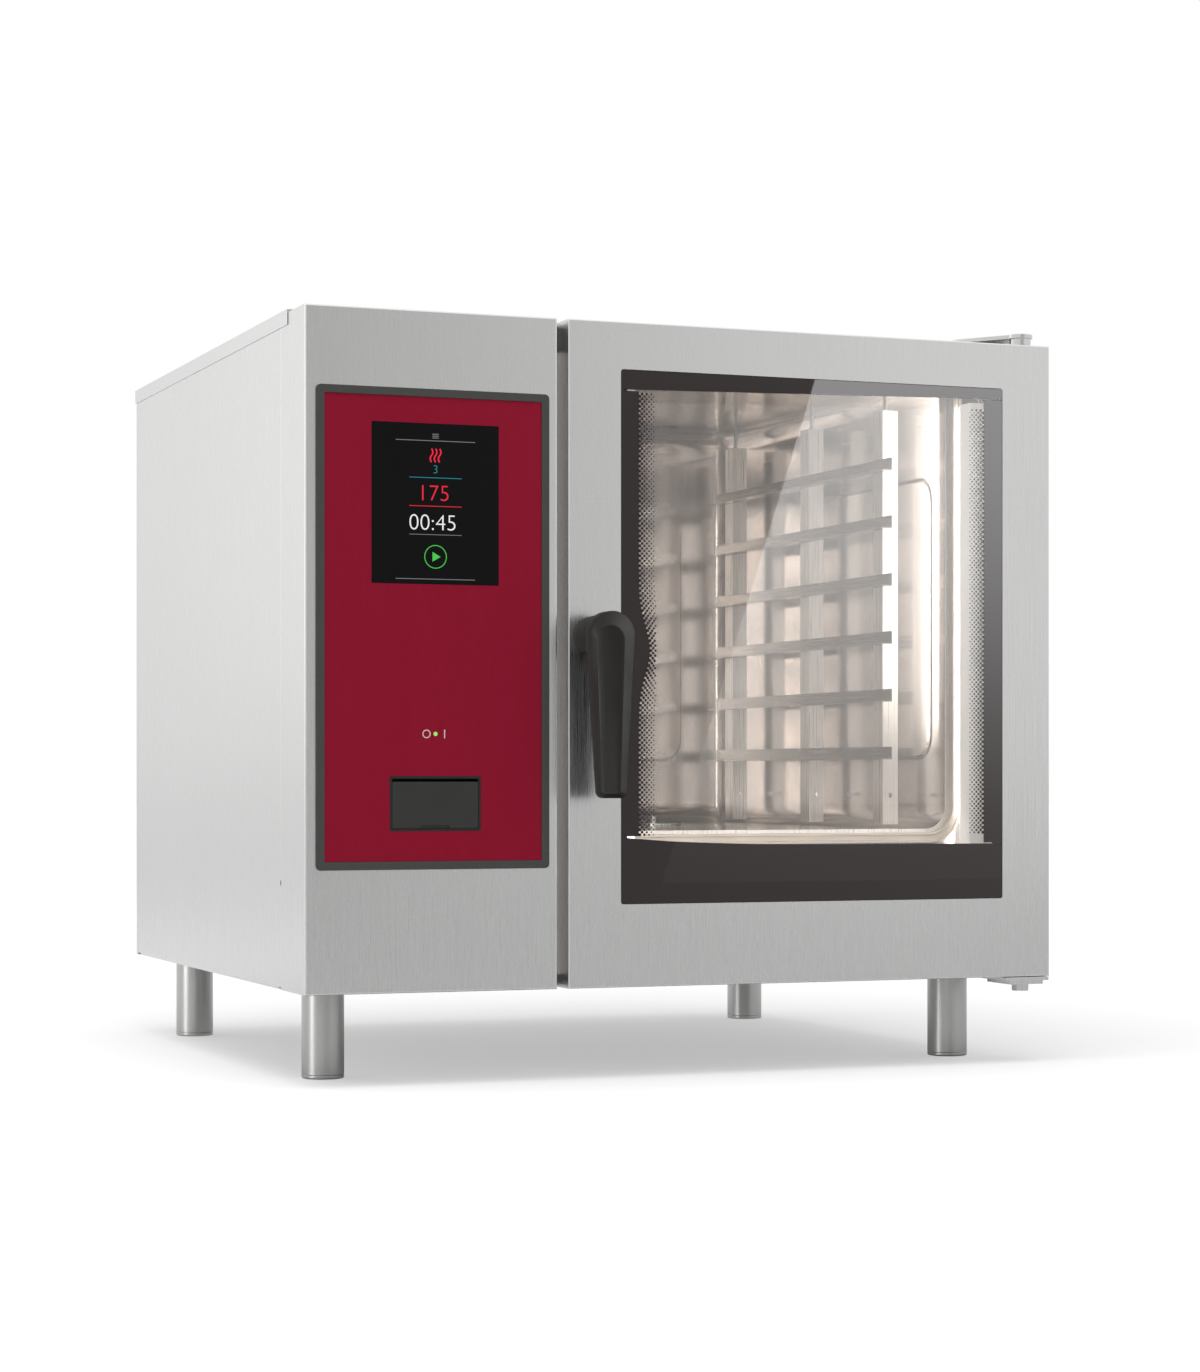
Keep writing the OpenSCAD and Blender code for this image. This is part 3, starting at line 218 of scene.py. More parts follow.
def mirror_card(name, corners, dark, light, seen_by=None):
    """A card that only mirrors see, shaded from edge to edge. seen_by limits it to some pieces."""
    card = flat_sheet(name, corners)
    card.visible_camera = False
    card.visible_diffuse = False
    card.visible_shadow = False
    card.visible_transmission = False
    uv = card.data.uv_layers.new(name="across")
    for corner, place in zip(uv.data, [(0, 0), (1, 0), (1, 1), (0, 1)]):
        corner.uv = place
    paper = bpy.data.materials.new(name)
    paper.use_nodes = True
    tree = paper.node_tree
    tree.nodes.clear()
    across = tree.nodes.new("ShaderNodeUVMap")
    split = tree.nodes.new("ShaderNodeSeparateXYZ")
    tree.links.new(across.outputs[0], split.inputs[0])
    shade = tree.nodes.new("ShaderNodeMapRange")
    shade.interpolation_type = "SMOOTHSTEP"
    shade.inputs["To Min"].default_value = dark
    shade.inputs["To Max"].default_value = light
    tree.links.new(split.outputs["Y"], shade.inputs["Value"])
    shine = tree.nodes.new("ShaderNodeEmission")
    tree.links.new(shade.outputs[0], shine.inputs["Strength"])
    output = tree.nodes.new("ShaderNodeOutputMaterial")
    if seen_by is None:
        tree.links.new(shine.outputs[0], output.inputs["Surface"])
    else:
        clear = tree.nodes.new("ShaderNodeBsdfTransparent")
        both = tree.nodes.new("ShaderNodeAddShader")
        tree.links.new(shine.outputs[0], both.inputs[0])
        tree.links.new(clear.outputs[0], both.inputs[1])
        tree.links.new(both.outputs[0], output.inputs["Surface"])
        card.light_linking.receiver_collection = seen_by
    card.data.materials.append(paper)
    return card


overhead = soft_lamp("overhead", (-0.5, -0.6, 3.2), (0, 0, 0.4), size=2.6, power=70)
overhead.visible_glossy = False
soft_lamp("back_left", (-2.6, 2.4, 1.3), (-0.44, 0, 0.45), size=1.8, power=8)


def seeing_group(name):
    """A group of pieces that a card or a lamp can be meant for."""
    group = bpy.data.collections.new(name)
    bpy.context.scene.collection.children.link(group)
    return group


panes, grips, legs, walls = map(seeing_group, ("panes", "grips", "legs", "walls"))
front_y = -4.2
front_at = [(-0.9, front_y, -0.3), (-0.9, front_y, 3.0), (3.2, front_y, 3.0), (3.2, front_y, -0.3)]
mirror_card("front_card", front_at, dark=0.37, light=1.17)
glare_y = -2.5
glare_at = [(0.83, glare_y, 0.13), (1.8, glare_y, 0.13), (1.8, glare_y, 1.1), (1.15, glare_y, 1.1)]
mirror_card("glare_card", glare_at, dark=0.2, light=6.9, seen_by=panes)
grip_at = [(1.5, -1.8, -0.1), (1.5, -0.45, -0.1), (0.6, -0.6, 1.9), (0.6, -2.1, 1.9)]
mirror_card("grip_card", grip_at, dark=4.8, light=4.8, seen_by=grips)
grip_side = soft_lamp("grip_side", (-3.0, -0.75, 0.55), (-0.12, -0.42, 0.42), size=0.6, power=110)
grip_side.light_linking.receiver_collection = grips
leg_side = soft_lamp("leg_side", (-6.4, -1.6, 0.4), (0.0, -0.26, 0.05), size=1.6, power=75)
leg_side.light_linking.receiver_collection = legs
print("groups with light of their own:", [g.name for g in (panes, grips, legs, walls)])


# %% Strips
def strip_lamp(name, place, target, wide, tall, power):
    """A long soft lamp in the warm white of the oven's own lamps, which mirrors don't show."""
    strip = soft_lamp(name, place, target, wide, power)
    strip.data.shape = "RECTANGLE"
    strip.data.size_y = tall
    strip.data.color = (1.0, 0.95, 0.91)
    strip.visible_transmission = False
    strip.visible_glossy = False
    return strip


chamber_low, chamber_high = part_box("cavity_liner")
chamber_x = (chamber_low.x + chamber_high.x) / 2
strip_z = chamber_low.z + 330 * MM
strip_place = (chamber_high.x - 18 * MM, chamber_low.y + 12 * MM, strip_z)
strip_target = (chamber_high.x - 60 * MM, chamber_high.y, strip_z)
strip_wide = 24 * MM
strip_lamp("chamber_strip", strip_place, strip_target, strip_wide, tall=0.36, power=0.3)
wall_strip = strip_lamp("wall_strip", strip_place, strip_target, strip_wide, tall=0.42, power=3.1)
wall_strip.light_linking.receiver_collection = walls
walls.objects.link(parts["cavity_liner"])
sill_place = (chamber_x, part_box("outer_glass")[1].y + 18 * MM, chamber_low.z + 5 * MM)
sill_target = (chamber_x, chamber_low.y, chamber_low.z - 8 * MM)
strip_lamp("sill_strip", sill_place, sill_target, wide=0.42, tall=10 * MM, power=0.2)
gap_x = (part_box("control_fascia")[1].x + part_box("door_frame")[0].x) / 2
gap_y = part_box("door_frame")[1].y + 4 * MM
gap_z = 0.45
gap_place = (gap_x, gap_y, gap_z)
gap_target = (gap_x, gap_y - 1, gap_z)
gap_strip = strip_lamp("gap_strip", gap_place, gap_target, wide=8 * MM, tall=0.68, power=0.012)
# The steel on both sides of the gap mirrors this one.
gap_strip.visible_glossy = True

# %% [markdown]
# ## Mixing finishes
# Every finish here is mixed from nodes, because a single flat colour looks like a toy. A small helper keeps
# the recipe of each finish short. Its patterns use the object's own coordinates in metres, so a grain is as
# fine on a small bracket as on the door, and the same on every rerun.


# %% Finish helper
def paint(red, green, blue):
    """A colour as read on a screen, 0 to 255, turned into light."""
    shares = [c / 255 for c in (red, green, blue)]
    return tuple(c / 12.92 if c < 0.0404 else ((c + 0.055) / 1.055) ** 2.4 for c in shares)


class Finish:
    """One material and the nodes that pattern it."""

    def __init__(self, name, colour, **sockets):
        self.material = bpy.data.materials.new(name)
        self.material.use_nodes = True
        self.tree = self.material.node_tree
        self.shader = self.tree.nodes["Principled BSDF"]
        self.shader.inputs["Base Color"].default_value = (*colour, 1)
        for socket, value in sockets.items():
            self.shader.inputs[socket.replace("_", " ")].default_value = value

    def node(self, kind, **inputs):
        """A new node, each input set to a value or linked to a socket."""
        made = self.tree.nodes.new(kind)
        for name, value in inputs.items():
            if isinstance(value, bpy.types.NodeSocket):
                self.tree.links.new(value, made.inputs[name])
            else:
                made.inputs[name].default_value = value
        return made

    def specks(self, scale, stretch=(1, 1, 1), detail=3.0):
        """Soft random spots, so many to the metre, drawn out along any axis with a low stretch."""
        place = self.node("ShaderNodeTexCoord").outputs["Object"]
        drawn = self.node("ShaderNodeMapping", Vector=place, Scale=[scale * s for s in stretch])
        return self.node("ShaderNodeTexNoise", Vector=drawn.outputs[0], Scale=1.0, Detail=detail).outputs[0]

    def spread(self, factor, low, high, start=0.3, end=0.7):
        """The factor carried from its usual span to the span from low to high."""
        spans = {"From Min": start, "From Max": end, "To Min": low, "To Max": high}
        return self.node("ShaderNodeMapRange", Value=factor, **spans).outputs[0]

    def edges(self):
        """1 on the strips that round a piece's edges, where a highlight is painted, and 0 elsewhere."""
        edge_highlight = self.node("ShaderNodeAttribute")
        edge_highlight.attribute_name = "edge_highlight"
        return edge_highlight.outputs["Fac"]

    def blend(self, factor, low, high):
        """A colour between two others, each a colour or a socket."""
        mix = self.tree.nodes.new("ShaderNodeMix")
        mix.data_type = "RGBA"
        self.tree.links.new(factor, mix.inputs["Factor"])
        for socket, value in (("A", low), ("B", high)):
            end = next(i for i in mix.inputs if i.name == socket and i.type == "RGBA")
            if isinstance(value, bpy.types.NodeSocket):
                self.tree.links.new(value, end)
            else:
                end.default_value = (*value, 1)
        return next(o for o in mix.outputs if o.type == "RGBA")

    def set(self, name, socket):
        self.tree.links.new(socket, self.shader.inputs[name])

    def relief(self, height, depth, strength=0.5):
        """Bumps of a real depth in metres."""
        bump = self.node("ShaderNodeBump", Height=height, Distance=depth, Strength=strength)
        self.set("Normal", bump.outputs["Normal"])


def shade_of(colour, factor):
    return tuple(min(1.0, c * factor) for c in colour)


# %% [markdown]
# ## Brushed stainless steel
# The casing is folded from sheet that was ground with a belt, so it carries thousands of fine straight
# scratches. Noise that is squeezed across the grain and drawn out along it gives those scratches. They vary
# the tone and the roughness, and a very shallow relief makes highlights smear across the grain. Broad soft
# spots add the handling marks that keep a large sheet from looking printed. The rounded edges are painted
# paler, a painted highlight along each edge.


# %% Brushed steel
def brushed_steel(name, tone, grain, rough, streaks=0.035, metal=1.0, **sockets):
    """Ground sheet steel. grain gives the stretch of its scratches along X, Y and Z."""
    made = Finish(name, tone, Metallic=metal, **sockets)
    scratches = made.specks(1500, grain, detail=2.0)
    bands = made.specks(420, grain, detail=2.0)
    clouds = made.specks(4, detail=2.0)
    fine = made.blend(scratches, shade_of(tone, 1 - streaks), shade_of(tone, 1 + streaks))
    wide = made.blend(made.spread(bands, 0.0, 0.3), fine, shade_of(tone, 1 - 1.2 * streaks))
    cloudy = made.blend(made.spread(clouds, 0.0, 0.25), wide, shade_of(tone, 1.06))
    # The rounded edge strips are painted paler: a painted highlight along each edge.
    steel_edge_highlight = made.spread(made.edges(), 0.0, 0.8, 0, 1)
    made.set("Base Color", made.blend(steel_edge_highlight, cloudy, shade_of(tone, 1.45)))
    made.set("Roughness", made.spread(scratches, rough - 0.05, rough + 0.07))
    made.relief(scratches, 0.00004, 0.18)
    return made.material


upright = (1, 1, 0.006)
lengthwise = (1, 0.006, 1)
casing_tone = (0.60, 0.60, 0.595)
casing_steel = brushed_steel("casing_steel", casing_tone, upright, rough=0.27, Anisotropic=0.4)
lid_steel = brushed_steel("lid_steel", casing_tone, lengthwise, rough=0.34)
leg_steel = brushed_steel("leg_steel", (0.465, 0.465, 0.455), upright, rough=0.32, streaks=0.08)
fitting_steel = brushed_steel("fitting_steel", (0.56, 0.56, 0.55), upright, rough=0.26)
chamber_tone = (0.83, 0.775, 0.73)
chamber_steel = brushed_steel("chamber_steel", chamber_tone, upright, rough=0.13, streaks=0.03, metal=0.85,
                              Anisotropic=0.8)
# The beads are pressed into the same sheet as the walls, yet their steel is painted darker: painted shade
# along the beads.
bead_painted_shade_tone = shade_of(chamber_tone, 0.72)
bead_shaded_steel = brushed_steel("bead_shaded_steel", bead_painted_shade_tone, upright, rough=0.2, streaks=0.03)
post_tone = (0.86, 0.83, 0.79)
post_steel = brushed_steel("post_steel", post_tone, upright, rough=0.3, streaks=0.04, metal=0.6)
rail_tone = (0.47, 0.44, 0.41)
rail_steel = brushed_steel("rail_steel", rail_tone, lengthwise, rough=0.22, streaks=0.06)
print("steels:", [m.name for m in bpy.data.materials if m.name.endswith("steel")])

# %% [markdown]
# ## Plastics, rubber, glass and the rest
# Moulded plastic has a fine spark-eroded grain, a slightly uneven gloss and edges painted paler as a
# highlight.
# Rubber is duller, with dust in its grain. Clear glass lets lamp light straight through, so that what lies
# behind it is lit without the noise of a true caustic, and it still bends and mirrors what the camera sees.


# %% Moulded plastic and rubber
def moulded(name, colour, rough, grain_depth=0.00002, edge_highlight=1.6, **sockets):
    """Moulded plastic, rubber or paint. The edge factor says how much paler its rounded edges are painted, a
    painted highlight.
    """
    made = Finish(name, colour, **sockets)
    grain = made.specks(2600, detail=2.0)
    clouds = made.specks(28)
    mottled = made.blend(clouds, shade_of(colour, 0.9), shade_of(colour, 1.12))
    # The rounded edge strips are painted paler: a painted highlight along each edge.
    plastic_edge_highlight = made.spread(made.edges(), 0.0, 0.6, 0, 1)
    made.set("Base Color", made.blend(plastic_edge_highlight, mottled, shade_of(colour, edge_highlight)))
    made.set("Roughness", made.spread(clouds, rough - 0.06, rough + 0.08))
    made.relief(grain, grain_depth)
    return made.material


handle_black = moulded("handle_black", paint(26, 25, 23), rough=0.5, grain_depth=0.00003, edge_highlight=1.7,
                       Specular_IOR_Level=0.16)
bezel_grey = moulded("bezel_grey", paint(76, 77, 74), rough=0.5, edge_highlight=1.3, Specular_IOR_Level=0.15)
flap_grey = moulded("flap_grey", paint(56, 57, 55), rough=0.42, edge_highlight=1.4, Specular_IOR_Level=0.2)
black_moulding = moulded("black_moulding", paint(38, 38, 37), rough=0.55, Specular_IOR_Level=0.25)
seal_rubber = moulded("seal_rubber", paint(203, 195, 184), rough=0.6, grain_depth=0.00005, edge_highlight=1.1)
pane_rubber = moulded("pane_rubber", paint(36, 35, 35), rough=0.7, grain_depth=0.00005, edge_highlight=1.2)
terminal_cream = moulded("terminal_cream", paint(205, 201, 186), rough=0.5)
wool_slab = moulded("wool_slab", paint(206, 196, 165), rough=0.95, grain_depth=0.0012, edge_highlight=1.05)
motor_enamel = moulded("motor_enamel", paint(96, 101, 104), rough=0.4, grain_depth=0.00004, edge_highlight=1.5)
print("finishes so far:", len(bpy.data.materials))


# %% Printed glass and screen
def printed_glass(name, colour, rough, haze=0.1, **sockets):
    """Glass with colour printed on it: a smooth face with faint wipe marks in its gloss."""
    made = Finish(name, colour, **sockets)
    wiped = made.specks(22, (1, 1, 0.25), detail=4.0)
    made.set("Base Color", made.blend(wiped, shade_of(colour, 0.97), shade_of(colour, 1.04)))
    made.set("Roughness", made.spread(wiped, rough, rough + haze))
    made.relief(made.specks(9), 0.00001, 0.1)
    return made.material


control_red = printed_glass("control_red", paint(148, 21, 48), rough=0.22, Specular_IOR_Level=0.05)
screen_black = printed_glass("screen_black", paint(21, 21, 21), rough=0.12, Specular_IOR_Level=0.05)
window_black = paint(38, 26, 26)
window_print = printed_glass("window_print", window_black, rough=0.0, haze=0.02, Specular_IOR_Level=0.39)


def clear_glass(name, tint, rough):
    """Glass that bends what is seen and lets lamp light straight through."""
    made = Finish(name, tint, Transmission_Weight=1.0, IOR=1.43)
    wiped = made.specks(14, (1, 1, 0.4), detail=4.0)
    made.set("Roughness", made.spread(wiped, rough, rough + 0.012))
    tree = made.tree
    clear = tree.nodes.new("ShaderNodeBsdfTransparent")
    path = tree.nodes.new("ShaderNodeLightPath")
    either = tree.nodes.new("ShaderNodeMixShader")
    tree.links.new(path.outputs["Is Shadow Ray"], either.inputs[0])
    tree.links.new(made.shader.outputs[0], either.inputs[1])
    tree.links.new(clear.outputs[0], either.inputs[2])
    tree.links.new(either.outputs[0], tree.nodes["Material Output"].inputs["Surface"])
    return made.material


outer_clear = clear_glass("outer_clear", (0.985, 0.98, 0.975), rough=0.0)
inner_clear = clear_glass("inner_clear", (0.985, 0.975, 0.965), rough=0.0)
print("finishes so far:", len(bpy.data.materials))


# %% Lit plastics, copper, brass and boards
def lit_plastic(name, colour, light, strength):
    """Opal plastic that glows, a little brighter in the middle of each spot; on a part that is no lamp,
    painted light.
    """
    made = Finish(name, colour, Roughness=0.5, Emission_Strength=strength)
    cells = made.specks(90, detail=1.0)
    made.set("Emission Color", made.blend(cells, shade_of(light, 0.92), light))
    return made.material


def drawn_metal(name, tone, rough):
    """Tube or turned metal with a faint tarnish."""
    made = Finish(name, tone, Metallic=1.0)
    tarnish = made.specks(60, detail=4.0)
    made.set("Base Color", made.blend(tarnish, shade_of(tone, 0.7), shade_of(tone, 1.1)))
    made.set("Roughness", made.spread(tarnish, rough + 0.12, rough))
    made.relief(made.specks(700), 0.00002, 0.3)
    return made.material


lamp_cover = lit_plastic("lamp_cover", (0.95, 0.93, 0.9), (1.0, 0.955, 0.91), strength=24.0)
# The lamp bars' bodies are no lamps: their faint glow is painted light.
lamp_body_painted_glow = lit_plastic("lamp_body_painted_glow", (0.62, 0.61, 0.59), (1.0, 0.94, 0.87), strength=0.32)
lamp_green = lit_plastic("lamp_green", paint(120, 200, 90), paint(150, 225, 90), strength=0.6)
copper = drawn_metal("copper", (0.80, 0.45, 0.30), rough=0.28)
brass = drawn_metal("brass", (0.75, 0.58, 0.30), rough=0.25)
heater_brown = drawn_metal("heater_brown", (0.30, 0.26, 0.22), rough=0.42)
board_green = moulded("board_green", paint(36, 92, 62), rough=0.35, grain_depth=0.00006, edge_highlight=1.3)
print("finishes in all:", len(bpy.data.materials))

# %% [markdown]
# ## Rounding hard edges
# A folded or cut edge is never knife sharp. It catches a thin line of light, and that line tells the eye
# how thick the sheet is. The frame's solids have sharp edges, so each visible one gets a rounded twin: its
# mesh is copied, its flat triangles are joined into whole faces, and every hard edge is bevelled by a
# fraction of a millimetre. The twin rides on the same body and stands for the plain node. The finishes
# paint a highlight on the rounded strips as well.


# %% Rounded twins
def as_piece(name, mesh, body, finish):
    """A finished mesh that rides on a body and carries its finish."""
    piece = bpy.data.objects.new(name, mesh)
    mesh.materials.clear()
    mesh.materials.append(finish)
    bpy.context.scene.collection.objects.link(piece)
    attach(piece, body)
    return piece


def smooth_faces(mesh, angle):
    """Smooth shading, apart from edges that turn by more than an angle in degrees."""
    mesh.shade_smooth()
    mesh.set_sharp_from_angle(angle=math.radians(angle))


# Turns are in degrees. Below flat_turn, triangles are one face. Above hard_turn, an edge is rounded. Above
# sharp_turn, the shading breaks. Points less than weld metres apart are one.
flat_turn = 0.4
hard_turn = 38
sharp_turn = 32
weld = 2e-6


def even_shading(mesh, rounded):
    """Flat faces stay flat and the rounded strips between them turn the light from one to the next."""
    lean = [Vector() for _ in mesh.vertices]
    spare = [Vector() for _ in mesh.vertices]
    for face in mesh.polygons:
        pile = spare if rounded[face.index] else lean
        for v in face.vertices:
            pile[v] += face.normal * face.area
    turned = [(a if a.length > 0 else b).normalized() for a, b in zip(lean, spare)]
    mesh.shade_smooth()
    limit = math.cos(math.radians(sharp_turn))
    corners = []
    for face in mesh.polygons:
        for v in face.vertices:
            keep = rounded[face.index] or turned[v].dot(face.normal) > limit
            corners.append(turned[v] if keep else face.normal.copy())
    mesh.normals_split_custom_set(corners)


def round_edges(shape, edges, width, count):
    """Bevels edges by width millimetres and marks the new strips."""
    strips = bmesh.ops.bevel(shape, geom=edges, offset=width * MM, offset_type="OFFSET", segments=count,
                             profile=0.5, affect="EDGES", clamp_overlap=True)["faces"]
    for face in strips:
        face.material_index = 1


def front_corners(shape, node):
    """The upright edges at the front left and front right corners of a node."""
    low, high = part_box(node)
    near = 0.2 * MM

    def at_corner(vertex):
        side = min(abs(vertex.co.x - low.x), abs(vertex.co.x - high.x))
        return side < near and abs(vertex.co.y - low.y) < near

    return [e for e in shape.edges if all(at_corner(v) for v in e.verts) and e.calc_length() > 50 * MM]


def rounded_twin(node, finish, width, steps=2, corner=0):
    """A copy of a node with its hard edges rounded by width millimetres, and its front corners by corner."""
    shape = bmesh.new()
    shape.from_mesh(parts[node].data)
    bmesh.ops.remove_doubles(shape, verts=shape.verts, dist=weld)
    bmesh.ops.dissolve_limit(shape, angle_limit=math.radians(flat_turn), verts=shape.verts, edges=shape.edges)
    for face in shape.faces:
        face.material_index = 0
    if corner:
        round_edges(shape, front_corners(shape, node), corner, count=4)
    hard = [e for e in shape.edges if e.is_manifold and e.calc_face_angle(0) > math.radians(hard_turn)]
    round_edges(shape, hard, width, steps)
    bmesh.ops.triangulate(shape, faces=[f for f in shape.faces if len(f.verts) > 4])
    mesh = bpy.data.meshes.new(node + "_rounded")
    shape.to_mesh(mesh)
    shape.free()
    rounded = [face.material_index == 1 for face in mesh.polygons]
    even_shading(mesh, rounded)
    # The rounded strips are marked, and the finishes paint a highlight on them.
    edge_highlight = mesh.attributes.new("edge_highlight", "FLOAT", "FACE")
    edge_highlight.data.foreach_set("value", [float(strip) for strip in rounded])
    for face in mesh.polygons:
        face.material_index = 0
    piece = as_piece(node + "_rounded", mesh, parts[node]["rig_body"], finish)
    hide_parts(node)
    return piece


def count_twins():
    """How many rounded twins there are so far."""
    return sum(name.endswith("_rounded") for name in bpy.data.objects.keys())


def dress(finish, *names):
    """The finish on nodes whose shape stays as it is."""
    for name in names:
        for slot in parts[name].material_slots:
            slot.material = finish


# %% [markdown]
# ## The casing
# Side panels, rear, base, lid and the control fascia are folded steel sheet. Their edges get a rounding of
# about half the sheet's thickness, and the lid's grain runs front to back because its sheet was cut that
# way round.

# %% Casing pieces
for name in ("left_side_panel", "right_side_panel", "rear_panel", "base_pan"):
    rounded_twin(name, casing_steel, 0.6)
rounded_twin("control_fascia", casing_steel, 0.6, corner=1.8)
rounded_twin("top_cover", lid_steel, 0.6)
rounded_twin("front_frame", post_steel, 0.6)
legs.objects.link(rounded_twin("leg_tubes", leg_steel, 0.3))
for corner in ("front_left", "front_right", "rear_left", "rear_right"):
    legs.objects.link(rounded_twin("foot_" + corner, leg_steel, 0.5, steps=3))
rounded_twin("hinge_top_plate", casing_steel, 0.7)
rounded_twin("hinge_bottom_bracket", casing_steel, 0.7)
rounded_twin("casing_screws", fitting_steel, 0.4)
print("rounded twins so far:", count_twins())

# %% [markdown]
# ## Inside the casing
# These pieces show only when a panel is off, or from behind through the slots, but each still gets its own
# finish: painted motor, copper pipe, brass valve, boards and wool.

# %% Hidden pieces
dress(motor_enamel, "fan_motor")
dress(copper, "steam_pipe")
dress(brass, "water_valve", "door_bushes")
dress(board_green, "control_board", "power_board")
dress(terminal_cream, "terminal_block")
dress(wool_slab, "cavity_insulation")
dress(heater_brown, "heating_element")
dress(black_moulding, "cooling_fan_housing", "cooling_fan_wheel", "door_switch")
dress(fitting_steel, "fan_wheel", "fan_shaft", "handle_spindle", "latch_keeper")
dress(fitting_steel, "drain_trap", "drain_pipe", "vent_damper")
rounded_twin("cable_gland", black_moulding, 0.6)
rounded_twin("vent_pipe", fitting_steel, 0.5)
print("rounded twins so far:", count_twins())

# %% [markdown]
# ## The oven chamber
# The chamber is bright cold-rolled steel, welded with generous coves so that it can be hosed out. It
# mirrors its own racks, warmed a little by years of heat. The racks are pressed from thinner sheet with a
# coarser finish.

# %% Chamber pieces
dress(chamber_steel, "cavity_liner")
rounded_twin("fan_baffle", chamber_steel, 0.3)
for side in ("left", "right"):
    rounded_twin(f"rack_{side}_posts", post_steel, 0.35)
    rounded_twin(f"rack_{side}_rails", rail_steel, 0.35)
rounded_twin("rack_hooks", fitting_steel, 0.5)
rounded_twin("drain_strainer", fitting_steel, 0.3)
rounded_twin("door_gasket", seal_rubber, 0.9, steps=3)
print("rounded twins so far:", count_twins())

# %% [markdown]
# Large flat sheets drum and buckle when they heat up, so a shallow bead in the shape of a rounded frame is
# pressed into the back wall and the right wall. Each bead is a half-round strip swept along that frame, and
# lies on its wall.


# %% Wall beads
def rounded_frame(a, b, radius, count=8):
    """Points round a rounded rectangle between two corners, with the way each one faces outwards."""
    middles = [(b[0] - radius, b[1] - radius), (a[0] + radius, b[1] - radius),
               (a[0] + radius, a[1] + radius), (b[0] - radius, a[1] + radius)]
    points = []
    for quarter, (x, y) in enumerate(middles):
        for k in range(count + 1):
            turn = math.pi / 2 * (quarter + k / count)
            facing = (math.cos(turn), math.sin(turn))
            points.append((x + radius * facing[0], y + radius * facing[1], *facing))
    return points


def bead(shape, a, b, lay):
    """A half-round strip along a rounded frame. lay turns across, up and out from the wall into a place."""
    half_wide = 2.2 * MM
    proud = 1.1 * MM
    sunk = 0.2 * MM
    profile = [(math.cos(math.pi * k / 6), math.sin(math.pi * k / 6)) for k in range(7)]
    profile = [(1, -sunk / proud), *profile, (-1, -sunk / proud)]
    loops = []
    for x, y, face_x, face_y in rounded_frame(a, b, 28 * MM):
        ring = []
        for side, up in profile:
            aside = half_wide * side
            ring.append(shape.verts.new(lay(x + aside * face_x, y + aside * face_y, proud * up)))
        loops.append(ring)
    for first, second in zip(loops, loops[1:] + loops[:1]):
        for i in range(len(profile)):
            j = (i + 1) % len(profile)
            shape.faces.new((first[i], first[j], second[j], second[i]))


sheet = 1.5 * MM
right_wall = chamber_high.x - sheet
back_wall = chamber_high.y - sheet
back_bead_start = right_wall - 350 * MM
back_bead_end = right_wall - 62 * MM
side_bead_start = chamber_low.y + 33 * MM
side_bead_end = chamber_low.y + 438 * MM
bead_low = chamber_low.z + 84 * MM
bead_high = bead_low + 325 * MM
bead_shape = bmesh.new()
bead(bead_shape, (back_bead_start, bead_low), (back_bead_end, bead_high),
     lambda x, z, out: (x, back_wall - out, z))
bead(bead_shape, (side_bead_start, bead_low), (side_bead_end, bead_high),
     lambda y, z, out: (right_wall - out, y, z))
bmesh.ops.recalc_face_normals(bead_shape, faces=bead_shape.faces)
bead_mesh = bpy.data.meshes.new("wall_beads")
bead_shape.to_mesh(bead_mesh)
bead_shape.free()
smooth_faces(bead_mesh, angle=50)
as_piece("wall_beads", bead_mesh, "cabinet", bead_shaded_steel)
print("beads from", round(bead_low, 3), "to", round(bead_high, 3))

# %% [markdown]
# ## The control panel
# A dark bezel frames a pane that is printed red on its back. The screen, the pilot lamp and the flap over
# the USB socket sit in cut-outs of that pane.

# %% Control panel pieces
rounded_twin("control_bezel", bezel_grey, 0.7, steps=3)
rounded_twin("control_glass", control_red, 0.25)
rounded_twin("touch_display", screen_black, 0.2)
rounded_twin("usb_socket", black_moulding, 0.4)
rounded_twin("usb_flap", flap_grey, 0.45, steps=3)
dress(lamp_green, "power_lamp")
print("rounded twins so far:", count_twins())

# %% [markdown]
# ## The door
# The door is a steel tray with two panes. Lamp bars stand upright in it behind the outer pane, and shine
# through the inner pane into the chamber. Their bodies glow faintly towards the front too: painted light.

# %% Door pieces
rounded_twin("door_frame", casing_steel, 0.6, corner=1.4)
rounded_twin("door_liner", chamber_steel, 0.4)
panes.objects.link(rounded_twin("outer_glass", outer_clear, 0.4))
rounded_twin("inner_glass", inner_clear, 0.4)
rounded_twin("inner_glass_clips", fitting_steel, 0.3)
dress(pane_rubber, "glass_seal")
dress(lamp_body_painted_glow, "light_bars")
dress(lamp_cover, "light_diffusers")
print("rounded twins so far:", count_twins())

# %% [markdown]
# ## Print on the outer pane
# The outer pane is fired with black enamel round its edge, to hide the seal and the lamps. Towards the view
# it breaks up into rows of dots. The print is real geometry here, a layer a tenth of a millimetre thick on
# the pane's face. A picture of dots would blur up close. The layer has the gloss of the pane, and the
# pane's glare shows in it.


# %% Thin layers
half_print = 0.05 * MM


def add_slab(shape, outline, front, back):
    """A flat slab between two depths, from an outline of X and Z."""
    near = [shape.verts.new((x, front, z)) for x, z in outline]
    far = [shape.verts.new((x, back, z)) for x, z in outline]
    count = len(outline)
    shape.faces.new(near)
    shape.faces.new(reversed(far))
    for i in range(count):
        j = (i + 1) % count
        shape.faces.new((near[i], far[i], far[j], near[j]))


def layer(name, outlines, front, back, body, finish):
    """Several slabs at one depth as one piece."""
    shape = bmesh.new()
    for outline in outlines:
        add_slab(shape, outline, front, back)
    bmesh.ops.triangulate(shape, faces=[f for f in shape.faces if len(f.verts) > 4])
    bmesh.ops.recalc_face_normals(shape, faces=shape.faces)
    mesh = bpy.data.meshes.new(name)
    shape.to_mesh(mesh)
    shape.free()
    return as_piece(name, mesh, body, finish)


